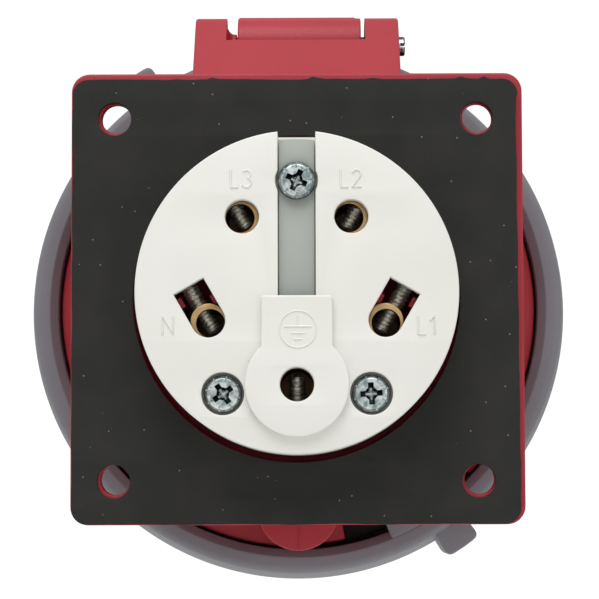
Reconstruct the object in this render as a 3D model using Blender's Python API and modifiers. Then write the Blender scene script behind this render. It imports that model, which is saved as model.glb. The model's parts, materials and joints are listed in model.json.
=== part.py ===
"""Panel-mounting five-pole watertight power socket with a hinged lid and a bayonet ring.

Y runs along the socket's axis: the wires enter at -Y and the plug at +Y. The lid's hinge is at +Z.
The origin is the centre of the gasket's rear face, which is the face that meets the panel.
"""

from math import asin, atan2, cos, pi, radians, sin

import bmesh
import bpy
from mathutils import Vector

MM = 0.001

# Clearances
GAP = 0.3 * MM  # between pieces that seat on each other
RUNNING_GAP = 0.15 * MM  # round a pin that turns
SLIDE_GAP = 0.4 * MM  # between the faces of the turning ring and what it turns on
OVERLAP = 1.0 * MM  # how far shapes that are one piece run into each other

# Flange and its gasket
FLANGE_SIDE = 75 * MM
FLANGE_THICKNESS = 3.2 * MM
FLANGE_CORNER = 3.0 * MM
GASKET_THICKNESS = 1.5 * MM
GASKET_MARGIN = 0.4 * MM
FIXING_INSET = 7.5 * MM
FIXING_HOLE_RADIUS = 2.5 * MM
GASKET_HOLE_RADIUS = 2.75 * MM

# Rear drum that carries the terminals
CARRIER_RADIUS = 26.15 * MM
CARRIER_WALL = 2.25 * MM
CARRIER_PLATE = 2.2 * MM
CARRIER_REACH = 11.0 * MM
CARRIER_SIDE_GAP = 1.05 * MM
GASKET_BORE_GAP = 1.35 * MM

# Housing barrel
BULKHEAD_REAR = 9.0 * MM
BULKHEAD_THICKNESS = 4.0 * MM
MOUTH_RADIUS = 29.0 * MM
MOUTH_FRONT = 40.0 * MM
COLLAR_WALL = 7.0 * MM
BARREL_WALL = 4.3 * MM
BARREL_FLARE_REAR = 14.0 * MM
KEYWAY_WIDTH = 8.8 * MM
KEYWAY_DEPTH = 6.5 * MM
KEYWAY_BULGE_RADIUS = 7.0 * MM
KEYWAY_BULGE_TAPER = 1.2 * MM
KEYWAY_BULGE_SINK = 0.6 * MM
KEYWAY_BULGE_REAR = 20.0 * MM
KEYWAY_END_WALL = 1.5 * MM

# Bayonet: ramps on the housing, lugs in the ring
RAMP_HEIGHT = 5.5 * MM
RAMP_REAR = 28.8 * MM
RAMP_THICKNESS = 4.0 * MM
RAMP_LEAD_CUT = 1.2 * MM
RAMP_START = radians(46)
RAMP_END = radians(178)
RAMP_LEAD = radians(10)
RING_BORE_GAP = 1.0 * MM
RING_WALL = 4.8 * MM
RING_REACH_BEHIND_RAMP = 3.3 * MM
RING_CHAMFER = 1.3 * MM
LUG_THICKNESS = 2.7 * MM
LUG_HEIGHT = 3.9 * MM
LUG_START = radians(22)
LUG_END = radians(40)
TAB_START = radians(31)
TAB_END = radians(38.5)
TAB_HEIGHT = 3.3 * MM
TAB_LENGTH = 16.0 * MM
RING_TURNS = 2

# Lid
LID_SEAL_WIDTH = 6.2 * MM
LID_SEAL_THICKNESS = 2.7 * MM
LID_NECK_WALL = 2.0 * MM
LID_NECK_LIP = 1.9 * MM
LID_PLATE = 2.7 * MM
LID_RIM_THICKNESS = 3.0 * MM
LID_DOME = 2.2 * MM
RING_LIP_THICKNESS = 2.4 * MM
RING_LIP_GAP = 0.5 * MM
RETAINER_THICKNESS = 1.4 * MM
RETAINER_WIDTH = 3.2 * MM
LID_RIM_OVERLAP = 5.5 * MM

# Hinge
HINGE_WIDTH = 35.0 * MM
EAR_LEFT = 5.4 * MM
EAR_RIGHT = 5.8 * MM
BARREL_GAP_LEFT = 1.9 * MM
BARREL_GAP_RIGHT = 0.7 * MM
KNUCKLE_RADIUS = 4.9 * MM
KNUCKLE_CLEARANCE = 0.9 * MM
HINGE_BEHIND_RING = 1.0 * MM
HINGE_UNDER_RING_RIM = 2.2 * MM
PIN_RADIUS = 1.7 * MM
PIN_PROUD = 1.2 * MM
PIN_SLOT_WIDTH = 0.7 * MM
PIN_SLOT_DEPTH = 0.8 * MM
ARM_WIDTH = 20.4 * MM
ARM_THICKNESS = 2.1 * MM
ARM_OVER_RING = 1.0 * MM

# Contacts: each stands on the contact circle at its clock angle, measured from the bottom
CONTACT_CIRCLE_RADIUS = 15.0 * MM
CONTACT_ANGLE = {"pe": 0, "l1": 72, "l2": 144, "l3": -144, "n": -72}
CLAMP_LEAN = {"pe": 180, "l1": 30, "l2": 30, "l3": -30, "n": -30}
SLEEVE_RADIUS = 2.95 * MM
WIRE_BORE_RADIUS = 2.35 * MM
WIRE_BORE_DEPTH = 12.0 * MM
SLEEVE_RECESS = 0.4 * MM
PIN_CONTACT_BORE = {"pe": 3.05 * MM, "phase": 2.5 * MM}
CONTACT_TUBE_WALL = 0.8 * MM
CONTACT_SHOULDER = 1.0 * MM
SHOULDER_THICKNESS = 1.6 * MM
CONTACT_TUBE_DEPTH = 16.5 * MM
FINGER_SLIT = 0.6 * MM
FINGER_LENGTH = 12.0 * MM
SPRING_THICKNESS = 0.5 * MM
SPRING_WIDTH = 2.5 * MM
SPRING_FROM_TIP = 3.0 * MM
SPRING_SPLIT = 1.2 * MM
ENTRY_RADIUS = 2.7 * MM
ENTRY_SLOT_LENGTH = 6.4 * MM

# Clamp screws
CLAMP_RADIUS = 1.45 * MM
CLAMP_LENGTH = 9.4 * MM
CLAMP_TIP = 1.9 * MM
CLAMP_BELOW_FACE = 6.5 * MM
CLAMP_SLOT_WIDTH = 0.6 * MM
CLAMP_SLOT_DEPTH = 0.9 * MM
CLAMP_ACCESS_RADIUS = 2.0 * MM

# Front insert
PLUG_SHROUD_SPACE = 5.0 * MM
INSERT_FACE = 33.5 * MM
INSERT_FACE_WALL = 1.6 * MM
INSERT_FLANGE_THICKNESS = 3.0 * MM
INSERT_SEAL_WIDTH = 3.4 * MM
INSERT_SEAL_THICKNESS = 1.0 * MM
CONTACT_FLOAT = 0.35 * MM

# Screws that hold the drum to the insert, through the bulkhead
SCREW_INSIDE_MOUTH = {"top": 11.0 * MM, "left": 8.7 * MM, "right": 8.7 * MM}
SCREW_ANGLE = {"top": 180, "left": -36, "right": 36}
SCREW_HEAD_RADIUS = 3.1 * MM
SCREW_HEAD_HEIGHT = 1.7 * MM
SCREW_HEAD_BELOW_FACE = 0.6 * MM
SCREW_SHANK_RADIUS = 1.5 * MM
SCREW_GRIP_IN_INSERT = 7.0 * MM
SCREW_BOSS_WALL = 1.1 * MM
RECESS_WIDTH = 1.0 * MM
RECESS_LENGTH = 3.4 * MM
RECESS_DEPTH = 1.0 * MM

# Grey strip in the drum's face, and the raised earth cover
STRIP_SLOT_WIDTH = 6.1 * MM
STRIP_GAP = 0.2 * MM
STRIP_THICKNESS = 1.0 * MM
STRIP_BELOW_FACE = 1.7 * MM
STRIP_END_MARGIN = 1.2 * MM
STRIP_CHANNEL_WALL = 1.4 * MM
STRIP_UNDER_COVER = 5.7 * MM
COVER_NECK_WIDTH = 11.4 * MM
COVER_RADIUS = 8.4 * MM
COVER_TOP = -0.7 * MM
COVER_THICKNESS = 1.1 * MM
COVER_SPIGOT_WALL = 0.8 * MM
COVER_SPIGOT_LENGTH = 2.0 * MM

# Places that follow from the sizes above
FLANGE_REAR = GASKET_THICKNESS + GAP
FLANGE_FRONT = FLANGE_REAR + FLANGE_THICKNESS
DRUM_FACE = -CARRIER_REACH
CARRIER_INNER = CARRIER_RADIUS - CARRIER_WALL
CAVITY_RADIUS = CARRIER_RADIUS + CARRIER_SIDE_GAP
BULKHEAD_FRONT = BULKHEAD_REAR + BULKHEAD_THICKNESS
BARREL_RADIUS = CAVITY_RADIUS + BARREL_WALL
COLLAR_RADIUS = MOUTH_RADIUS + COLLAR_WALL
RAMP_RADIUS = COLLAR_RADIUS + RAMP_HEIGHT
RAMP_FRONT = RAMP_REAR + RAMP_THICKNESS
RING_BORE = RAMP_RADIUS + RING_BORE_GAP
RING_RADIUS = RING_BORE + RING_WALL
RING_REAR = RAMP_REAR - RING_REACH_BEHIND_RAMP
LID_SEAL_INNER = MOUTH_RADIUS + SLIDE_GAP
LID_SEAL_OUTER = LID_SEAL_INNER + LID_SEAL_WIDTH
LID_SEAL_REAR = MOUTH_FRONT + GAP
LID_SEAT = LID_SEAL_REAR + LID_SEAL_THICKNESS + GAP
LID_NECK_REAR = LID_SEAT - LID_NECK_LIP
LID_NECK_INNER = LID_SEAL_OUTER + SLIDE_GAP
LID_NECK_RADIUS = LID_NECK_INNER + LID_NECK_WALL
RETAINER_REAR = LID_NECK_REAR + SLIDE_GAP
RING_LIP_REAR = RETAINER_REAR + RETAINER_THICKNESS + SLIDE_GAP
RING_FRONT = RING_LIP_REAR + RING_LIP_THICKNESS
LID_RIM_REAR = RING_FRONT + SLIDE_GAP
LID_RIM_FRONT = LID_RIM_REAR + LID_RIM_THICKNESS
LID_RIM_RADIUS = LID_NECK_RADIUS + LID_RIM_OVERLAP
LID_INNER_FRONT = LID_RIM_FRONT + LID_DOME - LID_PLATE
KNUCKLE_Y = RING_REAR - HINGE_BEHIND_RING - KNUCKLE_RADIUS
KNUCKLE_Z = RING_RADIUS - HINGE_UNDER_RING_RIM
KEYWAY_BULGE_Z = -(RAMP_RADIUS - KEYWAY_BULGE_RADIUS + KEYWAY_BULGE_SINK)
ARM_UNDER = RING_RADIUS + ARM_OVER_RING
EAR_LEFT_FACE = -HINGE_WIDTH / 2 + EAR_LEFT
EAR_RIGHT_FACE = HINGE_WIDTH / 2 - EAR_RIGHT
SLEEVE_REAR = DRUM_FACE + CARRIER_PLATE + SLEEVE_RECESS
CLAMP_Y = DRUM_FACE + CLAMP_BELOW_FACE
STRIP_BOTTOM = COVER_TOP - STRIP_UNDER_COVER
INSERT_RADIUS = MOUTH_RADIUS - PLUG_SHROUD_SPACE
INSERT_REAR = BULKHEAD_FRONT + GAP
CONTACT_TIP = INSERT_FACE - INSERT_FACE_WALL - SLIDE_GAP
SHOULDER_FRONT = BULKHEAD_FRONT - GAP
SHOULDER_REAR = SHOULDER_FRONT - SHOULDER_THICKNESS

SEGMENTS_LARGE = 60
SEGMENTS_SMALL = 16

RED = ("red_polyamide", (0.46, 0.045, 0.055), 0.42, 0.0)
WHITE = ("white_polyamide", (0.80, 0.79, 0.75), 0.45, 0.0)
GREY = ("grey_polyamide", (0.21, 0.205, 0.225), 0.5, 0.0)
STRIP_GREY = ("light_grey_polyamide", (0.42, 0.44, 0.41), 0.5, 0.0)
BLACK_RUBBER = ("black_rubber", (0.032, 0.031, 0.030), 0.75, 0.0)
BRASS = ("brass", (0.72, 0.48, 0.24), 0.32, 1.0)
ZINC = ("zinc_plated_steel", (0.62, 0.66, 0.68), 0.3, 1.0)
SPRING_STEEL = ("spring_steel", (0.50, 0.50, 0.52), 0.35, 1.0)
RETAINER_BLACK = ("black_acetal", (0.05, 0.05, 0.055), 0.4, 0.0)

ALONG_Y = (-pi / 2, 0, 0)  # a turned shape's top faces +Y
ALONG_X = (0, pi / 2, 0)  # a turned shape's top faces +X
OUTLINE_XZ = (pi / 2, 0, 0)  # an outline in X and Z, thick along Y
OUTLINE_YZ = (pi / 2, 0, pi / 2)  # an outline in Y and Z, thick along X


def clear_scene():
    for obj in list(bpy.data.objects):
        bpy.data.objects.remove(obj, do_unlink=True)


def make_collection(name):
    collection = bpy.data.collections.new(name)
    bpy.context.scene.collection.children.link(collection)
    return collection


def make_material(finish):
    name, colour, roughness, metallic = finish
    if name in bpy.data.materials:
        return bpy.data.materials[name]
    material = bpy.data.materials.new(name)
    material.use_nodes = True
    shader = material.node_tree.nodes["Principled BSDF"]
    shader.inputs["Base Color"].default_value = (*colour, 1)
    shader.inputs["Roughness"].default_value = roughness
    shader.inputs["Metallic"].default_value = metallic
    material.diffuse_color = (*colour, 1)
    return material


def as_part(obj, finish):
    """Put a finished shape among the parts, with its material."""
    PARTS.objects.link(obj)
    obj.data.materials.append(make_material(finish))
    obj.data.shade_smooth()
    obj.data.set_sharp_from_angle(angle=radians(30))
    return obj


def as_tool(obj):
    """Keep a shape out of the model: it only cuts or joins other shapes."""
    TOOLS.objects.link(obj)
    obj.hide_render = True
    obj.display_type = "WIRE"
    return obj


def boolean(target, tool, operation):
    modifier = target.modifiers.new(f"{operation.lower()}_{tool.name}", "BOOLEAN")
    modifier.operation = operation
    modifier.object = tool
    modifier.solver = "EXACT"


def cut(target, *tools):
    for tool in tools:
        boolean(target, tool, "DIFFERENCE")


def join(target, *tools):
    for tool in tools:
        boolean(target, tool, "UNION")


def turned(name, profile, closed, segments=SEGMENTS_LARGE, place=(0, 0, 0), turn=ALONG_Y):
    """Turn (radius, height) points round the local Z axis. A closed profile leaves a bore."""
    mesh = bpy.data.meshes.new(name)
    start = pi / segments  # flats, not corners, face the axes
    points = [(radius * cos(start), radius * sin(start), height) for radius, height in profile]
    edges = [(i, i + 1) for i in range(len(points) - 1)]
    if closed:
        edges.append((len(points) - 1, 0))
    mesh.from_pydata(points, edges, [])
    obj = bpy.data.objects.new(name, mesh)
    screw = obj.modifiers.new("turn", "SCREW")
    screw.axis = "Z"
    screw.angle = 2 * pi
    screw.steps = screw.render_steps = segments
    screw.use_merge_vertices = True
    screw.merge_threshold = 0.00001
    flat = obj.modifiers.new("one_face_per_flat_end", "DECIMATE")
    flat.decimate_type = "DISSOLVE"
    flat.angle_limit = radians(0.5)
    obj.location = place
    obj.rotation_euler = turn
    return obj


def disc(name, radius, low, high, segments=SEGMENTS_LARGE, place=(0, 0, 0), turn=ALONG_Y):
    """A solid cylinder from low to high along its own axis."""
    profile = [(0, high), (radius, high), (radius, low), (0, low)]
    return turned(name, profile, False, segments, place, turn)


def drill(name, spot, radius, low, high):
    """A cutter or joiner: a small cylinder along Y at a spot in X and Z."""
    x, z = spot
    return as_tool(disc(name, radius, low, high, SEGMENTS_SMALL, (x, 0, z)))


def washer(name, inner, outer, low, high, segments=SEGMENTS_LARGE, place=(0, 0, 0), turn=ALONG_Y):
    """A ring of rectangular section from low to high along its own axis."""
    profile = [(inner, high), (outer, high), (outer, low), (inner, low)]
    return turned(name, profile, True, segments, place, turn)


def box(name, low, high, turn=(0, 0, 0), place=None):
    """A box between two corners. With a place, the corners are measured from there."""
    low, high = Vector(low), Vector(high)
    mesh = bpy.data.meshes.new(name)
    form = bmesh.new()
    bmesh.ops.create_cube(form, size=1)
    size = high - low
    bmesh.ops.scale(form, vec=size, verts=form.verts)
    bmesh.ops.translate(form, vec=(low + high) / 2, verts=form.verts)
    form.to_mesh(mesh)
    form.free()
    obj = bpy.data.objects.new(name, mesh)
    obj.rotation_euler = turn
    obj.location = place or (0, 0, 0)
    return obj


def prism(name, outline, low, high, turn=OUTLINE_XZ):
    """A flat outline made thick from low to high along Y, or along X for an outline in Y and Z."""
    curve = bpy.data.curves.new(name, "CURVE")
    curve.dimensions = "2D"
    curve.fill_mode = "BOTH"
    curve.extrude = (high - low) / 2
    spline = curve.splines.new("POLY")
    spline.points.add(len(outline) - 1)
    for point, (across, up) in zip(spline.points, outline):
        point.co = (across, up, 0, 1)
    spline.use_cyclic_u = True
    flat = bpy.data.objects.new(name, curve)
    TOOLS.objects.link(flat)
    bpy.context.view_layer.update()
    mesh = bpy.data.meshes.new_from_object(flat.evaluated_get(bpy.context.evaluated_depsgraph_get()))
    bpy.data.objects.remove(flat)
    bpy.data.curves.remove(curve)
    form = bmesh.new()
    form.from_mesh(mesh)
    bmesh.ops.remove_doubles(form, verts=form.verts, dist=1e-6)
    bmesh.ops.recalc_face_normals(form, faces=form.faces)
    form.to_mesh(mesh)
    form.free()
    obj = bpy.data.objects.new(name, mesh)
    middle = (low + high) / 2
    obj.location = (0, middle, 0) if turn == OUTLINE_XZ else (middle, 0, 0)
    obj.rotation_euler = turn
    return obj


def arc(centre, radius, start, end, steps):
    """Points on a circle from one angle to another, counterclockwise from the first axis."""
    turn = [start + (end - start) * i / steps for i in range(steps + 1)]
    return [(centre[0] + radius * cos(t), centre[1] + radius * sin(t)) for t in turn]


def rounded_square(side, corner):
    inner = side / 2 - corner
    centres = [(inner, inner), (-inner, inner), (-inner, -inner), (inner, -inner)]
    points = []
    for quarter, centre in enumerate(centres):
        points += arc(centre, corner, quarter * pi / 2, (quarter + 1) * pi / 2, 5)
    return points


def clock(radius, angle):
    """X and Z of a point on a circle, its angle taken from the bottom towards +X."""
    return radius * sin(angle), -radius * cos(angle)


def sector(inner, outer, start, end):
    """Outline of part of a ring between two clock angles."""
    steps = max(2, round((end - start) / radians(5)))
    turn = [start + (end - start) * i / steps for i in range(steps + 1)]
    return [clock(outer, t) for t in turn] + [clock(inner, t) for t in reversed(turn)]


def contact_place(name):
    return clock(CONTACT_CIRCLE_RADIUS, radians(CONTACT_ANGLE[name]))


def contact_bore(name):
    return PIN_CONTACT_BORE["pe" if name == "pe" else "phase"]


def contact_tube(name):
    return contact_bore(name) + CONTACT_TUBE_WALL


def contact_shoulder(name):
    return contact_tube(name) + CONTACT_SHOULDER


def spring_outer(name):
    return contact_tube(name) + GAP + SPRING_THICKNESS


def screw_place(name):
    return clock(MOUTH_RADIUS - SCREW_INSIDE_MOUTH[name], radians(SCREW_ANGLE[name]))


def fixing_places():
    reach = FLANGE_SIDE / 2 - FIXING_INSET
    return [(side * reach, level * reach) for side in (-1, 1) for level in (-1, 1)]


def clamp_shape(name, label, radius, low, high):
    """A cylinder along the clamp screw's axis, from low to high outward of the contact's centre."""
    x, z = contact_place(name)
    lean = (0, radians(CLAMP_LEAN[name]), 0)
    return disc(label, radius, low, high, SEGMENTS_SMALL, (x, CLAMP_Y, z), lean)


def hinge_outline():
    """Side view of the hinge block: a slope from the flange that runs tangent onto the knuckle."""
    foot = (FLANGE_FRONT - OVERLAP / 2, FLANGE_SIDE / 2)
    across, up = KNUCKLE_Y - foot[0], KNUCKLE_Z - foot[1]
    slope = atan2(up, across) + asin(KNUCKLE_RADIUS / (across**2 + up**2) ** 0.5)
    front = KNUCKLE_Y + KNUCKLE_RADIUS * 0.8
    root = MOUTH_RADIUS * 0.8
    rim = arc((KNUCKLE_Y, KNUCKLE_Z), KNUCKLE_RADIUS, slope + pi / 2, -asin(0.6), 14)
    inside = FLANGE_REAR + OVERLAP
    return [(inside, root), (inside, foot[1] - OVERLAP), foot] + rim + [(front, root)]


def barrel_core(label):
    """The space inside the barrel, which nothing joined to the barrel's outside may enter."""
    radius = max(MOUTH_RADIUS, CAVITY_RADIUS) + OVERLAP
    return as_tool(disc(f"{label}_core", radius, -FLANGE_SIDE, FLANGE_SIDE, 64))


def pin_bore(name, place):
    """The hinge pin's hole, all the way along the hinge."""
    radius = PIN_RADIUS + RUNNING_GAP
    return as_tool(disc(name, radius, -HINGE_WIDTH, HINGE_WIDTH, SEGMENTS_SMALL, place, ALONG_X))


def add_hinge_block(housing):
    half = HINGE_WIDTH / 2
    block = as_tool(prism("hinge_block", hinge_outline(), -half, half, OUTLINE_YZ))
    cut(block, barrel_core("hinge"))
    join(housing, block)
    pocket_radius = KNUCKLE_RADIUS + KNUCKLE_CLEARANCE
    place = (0, KNUCKLE_Y, KNUCKLE_Z)
    left, right = EAR_LEFT_FACE, EAR_RIGHT_FACE
    pocket = disc("knuckle_pocket", pocket_radius, left, right, 48, place, ALONG_X)
    reach, wide = pocket_radius * 3, PIN_RADIUS * 2
    above = box("above_knuckle", (left, -reach, 0), (right, reach, reach), place=place)
    ahead = box("ahead_of_knuckle", (left, 0, -pocket_radius), (right, reach, reach), place=place)
    bore = pin_bore("ear_pin_bore", place)
    blind = box("pin_end_wall", (-half + GAP, -wide, -wide), (half * 2, wide, wide), place=place)
    boolean(bore, as_tool(blind), "INTERSECT")
    cut(housing, as_tool(pocket), as_tool(above), as_tool(ahead), bore)


def add_keyway(housing):
    wide, narrow = KEYWAY_BULGE_RADIUS, KEYWAY_BULGE_RADIUS - KEYWAY_BULGE_TAPER
    rear, front = KEYWAY_BULGE_REAR, RAMP_FRONT + 2 * OVERLAP
    taper = [(0, front), (narrow, front), (wide, rear), (0, rear)]
    bulge = as_tool(turned("keyway_bulge", taper, False, 48, (0, 0, KEYWAY_BULGE_Z)))
    cut(bulge, barrel_core("bulge"))
    join(housing, bulge)
    groove = box(
        "keyway_groove",
        (-KEYWAY_WIDTH / 2, KEYWAY_BULGE_REAR + KEYWAY_END_WALL, -MOUTH_RADIUS - KEYWAY_DEPTH),
        (KEYWAY_WIDTH / 2, MOUTH_FRONT + 2 * OVERLAP, -MOUTH_RADIUS + 2 * OVERLAP),
    )
    cut(housing, as_tool(groove))


def add_ramps(housing):
    root = COLLAR_RADIUS - OVERLAP
    for turn in range(RING_TURNS):
        start, end = (angle + turn * 2 * pi / RING_TURNS for angle in (RAMP_START, RAMP_END))
        land = sector(root, RAMP_RADIUS, start, end)
        ramp = as_tool(prism(f"ramp_{turn}", land, RAMP_REAR, RAMP_FRONT))
        lead = sector(root - OVERLAP, RAMP_RADIUS + OVERLAP, start - RAMP_LEAD, start + RAMP_LEAD)
        lead_front = RAMP_REAR + RAMP_LEAD_CUT
        cut(ramp, as_tool(prism(f"ramp_lead_{turn}", lead, RAMP_REAR - OVERLAP, lead_front)))
        join(housing, ramp)


def build_housing():
    """Square flange, stepped barrel, contact bulkhead, bayonet ramps, keyway and hinge ears."""
    barrel = [
        (0, BULKHEAD_FRONT),
        (MOUTH_RADIUS, BULKHEAD_FRONT),
        (MOUTH_RADIUS, MOUTH_FRONT),
        (COLLAR_RADIUS, MOUTH_FRONT),
        (COLLAR_RADIUS, RING_REAR - OVERLAP),
        (BARREL_RADIUS, BARREL_FLARE_REAR),
        (BARREL_RADIUS, FLANGE_REAR + OVERLAP),
        (CAVITY_RADIUS, FLANGE_REAR + OVERLAP),
        (CAVITY_RADIUS, BULKHEAD_REAR),
        (0, BULKHEAD_REAR),
    ]
    housing = turned("housing", barrel, False)
    outline = rounded_square(FLANGE_SIDE, FLANGE_CORNER)
    flange = as_tool(prism("flange_plate", outline, FLANGE_REAR, FLANGE_FRONT))
    cut(flange, as_tool(disc("flange_bore", CAVITY_RADIUS + OVERLAP, 0, FLANGE_FRONT + OVERLAP, 64)))
    join(housing, flange)
    add_ramps(housing)
    add_hinge_block(housing)
    add_keyway(housing)
    for number, spot in enumerate(fixing_places()):
        cut(housing, drill(f"fixing_hole_{number}", spot, FIXING_HOLE_RADIUS, 0, FLANGE_FRONT + OVERLAP))
    through = BULKHEAD_FRONT + OVERLAP
    for name in CONTACT_ANGLE:
        spot = contact_place(name)
        seat_radius = contact_shoulder(name) + GAP
        cut(
            housing,
            drill(f"{name}_sleeve_hole", spot, SLEEVE_RADIUS + GAP, 0, SHOULDER_FRONT),
            drill(f"{name}_seat", spot, seat_radius, SHOULDER_REAR - GAP, through),
        )
    for name in SCREW_ANGLE:
        cut(housing, drill(f"{name}_screw_hole", screw_place(name), SCREW_SHANK_RADIUS + GAP, 0, through))
    return as_part(housing, RED)


def build_gasket():
    """Flat panel gasket, cut a little smaller than the flange."""
    outline = rounded_square(FLANGE_SIDE - 2 * GASKET_MARGIN, FLANGE_CORNER - GASKET_MARGIN)
    gasket = prism("flange_gasket", outline, 0, GASKET_THICKNESS)
    low, high = -OVERLAP, GASKET_THICKNESS + OVERLAP
    cut(gasket, as_tool(disc("gasket_bore", CARRIER_RADIUS + GASKET_BORE_GAP, low, high)))
    for number, spot in enumerate(fixing_places()):
        cut(gasket, drill(f"gasket_hole_{number}", spot, GASKET_HOLE_RADIUS, low, high))
    return as_part(gasket, BLACK_RUBBER)


def entry_slot(name):
    """Wire entry that runs on along the clamp screw, for the two contacts at the sides."""
    x, z = contact_place(name)
    lean = (0, radians(CLAMP_LEAN[name]), 0)
    half = CARRIER_PLATE / 2 + OVERLAP
    middle = DRUM_FACE + CARRIER_PLATE / 2
    low = (-ENTRY_RADIUS, -half, 0)
    high = (ENTRY_RADIUS, half, ENTRY_SLOT_LENGTH)
    return box(f"{name}_entry_slot", low, high, lean, (x, middle, z))


def build_carrier():
    """White drum that covers the terminals, with wire entries, screw bosses and the strip's channel."""
    plate_front = DRUM_FACE + CARRIER_PLATE
    front = BULKHEAD_REAR - GAP
    shell = [
        (0, plate_front),
        (CARRIER_INNER, plate_front),
        (CARRIER_INNER, front),
        (CARRIER_RADIUS, front),
        (CARRIER_RADIUS, DRUM_FACE),
        (0, DRUM_FACE),
    ]
    carrier = turned("contact_carrier", shell, False)
    head_seat = DRUM_FACE + SCREW_HEAD_BELOW_FACE + SCREW_HEAD_HEIGHT + GAP
    head_space = SCREW_HEAD_RADIUS + GAP
    channel_floor = DRUM_FACE + STRIP_BELOW_FACE + STRIP_THICKNESS + GAP
    half = STRIP_SLOT_WIDTH / 2
    strip_top = CARRIER_RADIUS + OVERLAP
    channel = box(
        "strip_channel",
        (-half - STRIP_CHANNEL_WALL, plate_front - OVERLAP, STRIP_BOTTOM - GAP - STRIP_CHANNEL_WALL),
        (half + STRIP_CHANNEL_WALL, channel_floor + STRIP_CHANNEL_WALL, CARRIER_INNER + OVERLAP),
    )
    join(carrier, as_tool(channel))
    boss_radius = head_space + SCREW_BOSS_WALL
    for name in SCREW_ANGLE:
        join(carrier, drill(f"{name}_boss", screw_place(name), boss_radius, plate_front - OVERLAP, front))
    behind = DRUM_FACE - OVERLAP
    slot = box("strip_slot", (-half, behind, STRIP_BOTTOM - GAP), (half, channel_floor, strip_top))
    cut(carrier, as_tool(slot))
    for name in SCREW_ANGLE:
        spot = screw_place(name)
        depth = channel_floor if name == "top" else head_seat
        cut(
            carrier,
            drill(f"{name}_head_space", spot, head_space, behind, depth),
            drill(f"{name}_shank_hole", spot, SCREW_SHANK_RADIUS + GAP, DRUM_FACE, front + OVERLAP),
        )
    for name in CONTACT_ANGLE:
        radius = ENTRY_RADIUS
        if name == "pe":
            radius += COVER_SPIGOT_WALL + GAP
        entry = drill(f"{name}_entry", contact_place(name), radius, behind, plate_front + OVERLAP)
        label = f"{name}_driver_access"
        access = clamp_shape(name, label, CLAMP_ACCESS_RADIUS, 0, CARRIER_RADIUS * 1.2)
        cut(carrier, entry, as_tool(access))
    for name in ("n", "l1"):
        cut(carrier, as_tool(entry_slot(name)))
    return as_part(carrier, WHITE)


def build_strip():
    """Grey strip that lies in the drum's slot under the top screw and the earth cover."""
    half = STRIP_SLOT_WIDTH / 2 - STRIP_GAP
    face = DRUM_FACE + STRIP_BELOW_FACE
    top = CARRIER_RADIUS - STRIP_END_MARGIN
    lean = asin(half / top)
    rounded_end = arc((0, 0), top, pi / 2 - lean, pi / 2 + lean, 6)
    outline = rounded_end + [(-half, STRIP_BOTTOM), (half, STRIP_BOTTOM)]
    strip = prism("lock_strip", outline, face, face + STRIP_THICKNESS)
    low, high = face - OVERLAP, face + STRIP_THICKNESS + OVERLAP
    cut(strip, drill("strip_screw_hole", screw_place("top"), SCREW_SHANK_RADIUS + GAP, low, high))
    return as_part(strip, STRIP_GREY)


def cover_outline():
    """A round plate over the earth terminal with a square-ended neck above it."""
    half = COVER_NECK_WIDTH / 2
    lean = asin(half / COVER_RADIUS)
    plate = arc(contact_place("pe"), COVER_RADIUS, pi / 2 + lean, 5 * pi / 2 - lean, 36)
    return plate + [(half, COVER_TOP), (-half, COVER_TOP)]


def build_earth_cover():
    """Raised key-shaped cover over the earth terminal, located by a spigot in the wire entry."""
    spot = contact_place("pe")
    seat = DRUM_FACE - GAP
    cover = prism("earth_cover", cover_outline(), seat - COVER_THICKNESS, seat)
    spigot_radius, spigot_end = ENTRY_RADIUS + COVER_SPIGOT_WALL, seat + COVER_SPIGOT_LENGTH
    join(cover, drill("cover_spigot", spot, spigot_radius, seat - OVERLAP / 2, spigot_end))
    low, high = seat - COVER_THICKNESS - OVERLAP, spigot_end + OVERLAP
    cut(cover, drill("cover_entry", spot, ENTRY_RADIUS, low, high))
    return as_part(cover, WHITE)


def build_carrier_screw(name):
    """Pan-head screw with a cross recess."""
    x, z = screw_place(name)
    strip_face = DRUM_FACE + STRIP_BELOW_FACE
    seat = DRUM_FACE + SCREW_HEAD_BELOW_FACE + SCREW_HEAD_HEIGHT
    if name == "top":
        seat = strip_face - GAP
    head = seat - SCREW_HEAD_HEIGHT
    tip = INSERT_REAR + SCREW_GRIP_IN_INSERT
    edge = SCREW_HEAD_HEIGHT * 0.3
    profile = [
        (0, tip),
        (SCREW_SHANK_RADIUS * 0.6, tip),
        (SCREW_SHANK_RADIUS, tip - SCREW_SHANK_RADIUS * 0.4),
        (SCREW_SHANK_RADIUS, seat),
        (SCREW_HEAD_RADIUS, seat),
        (SCREW_HEAD_RADIUS, head + edge),
        (SCREW_HEAD_RADIUS - edge, head),
        (0, head),
    ]
    screw = turned(f"carrier_screw_{name}", profile, False, SEGMENTS_SMALL, (x, 0, z))
    long, short = RECESS_LENGTH / 2, RECESS_WIDTH / 2
    for label, across, up in (("level", long, short), ("upright", short, long)):
        low = (x - across, head - OVERLAP, z - up)
        high = (x + across, head + RECESS_DEPTH, z + up)
        cut(screw, as_tool(box(f"{name}_recess_{label}", low, high)))
    return as_part(screw, ZINC)


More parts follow.
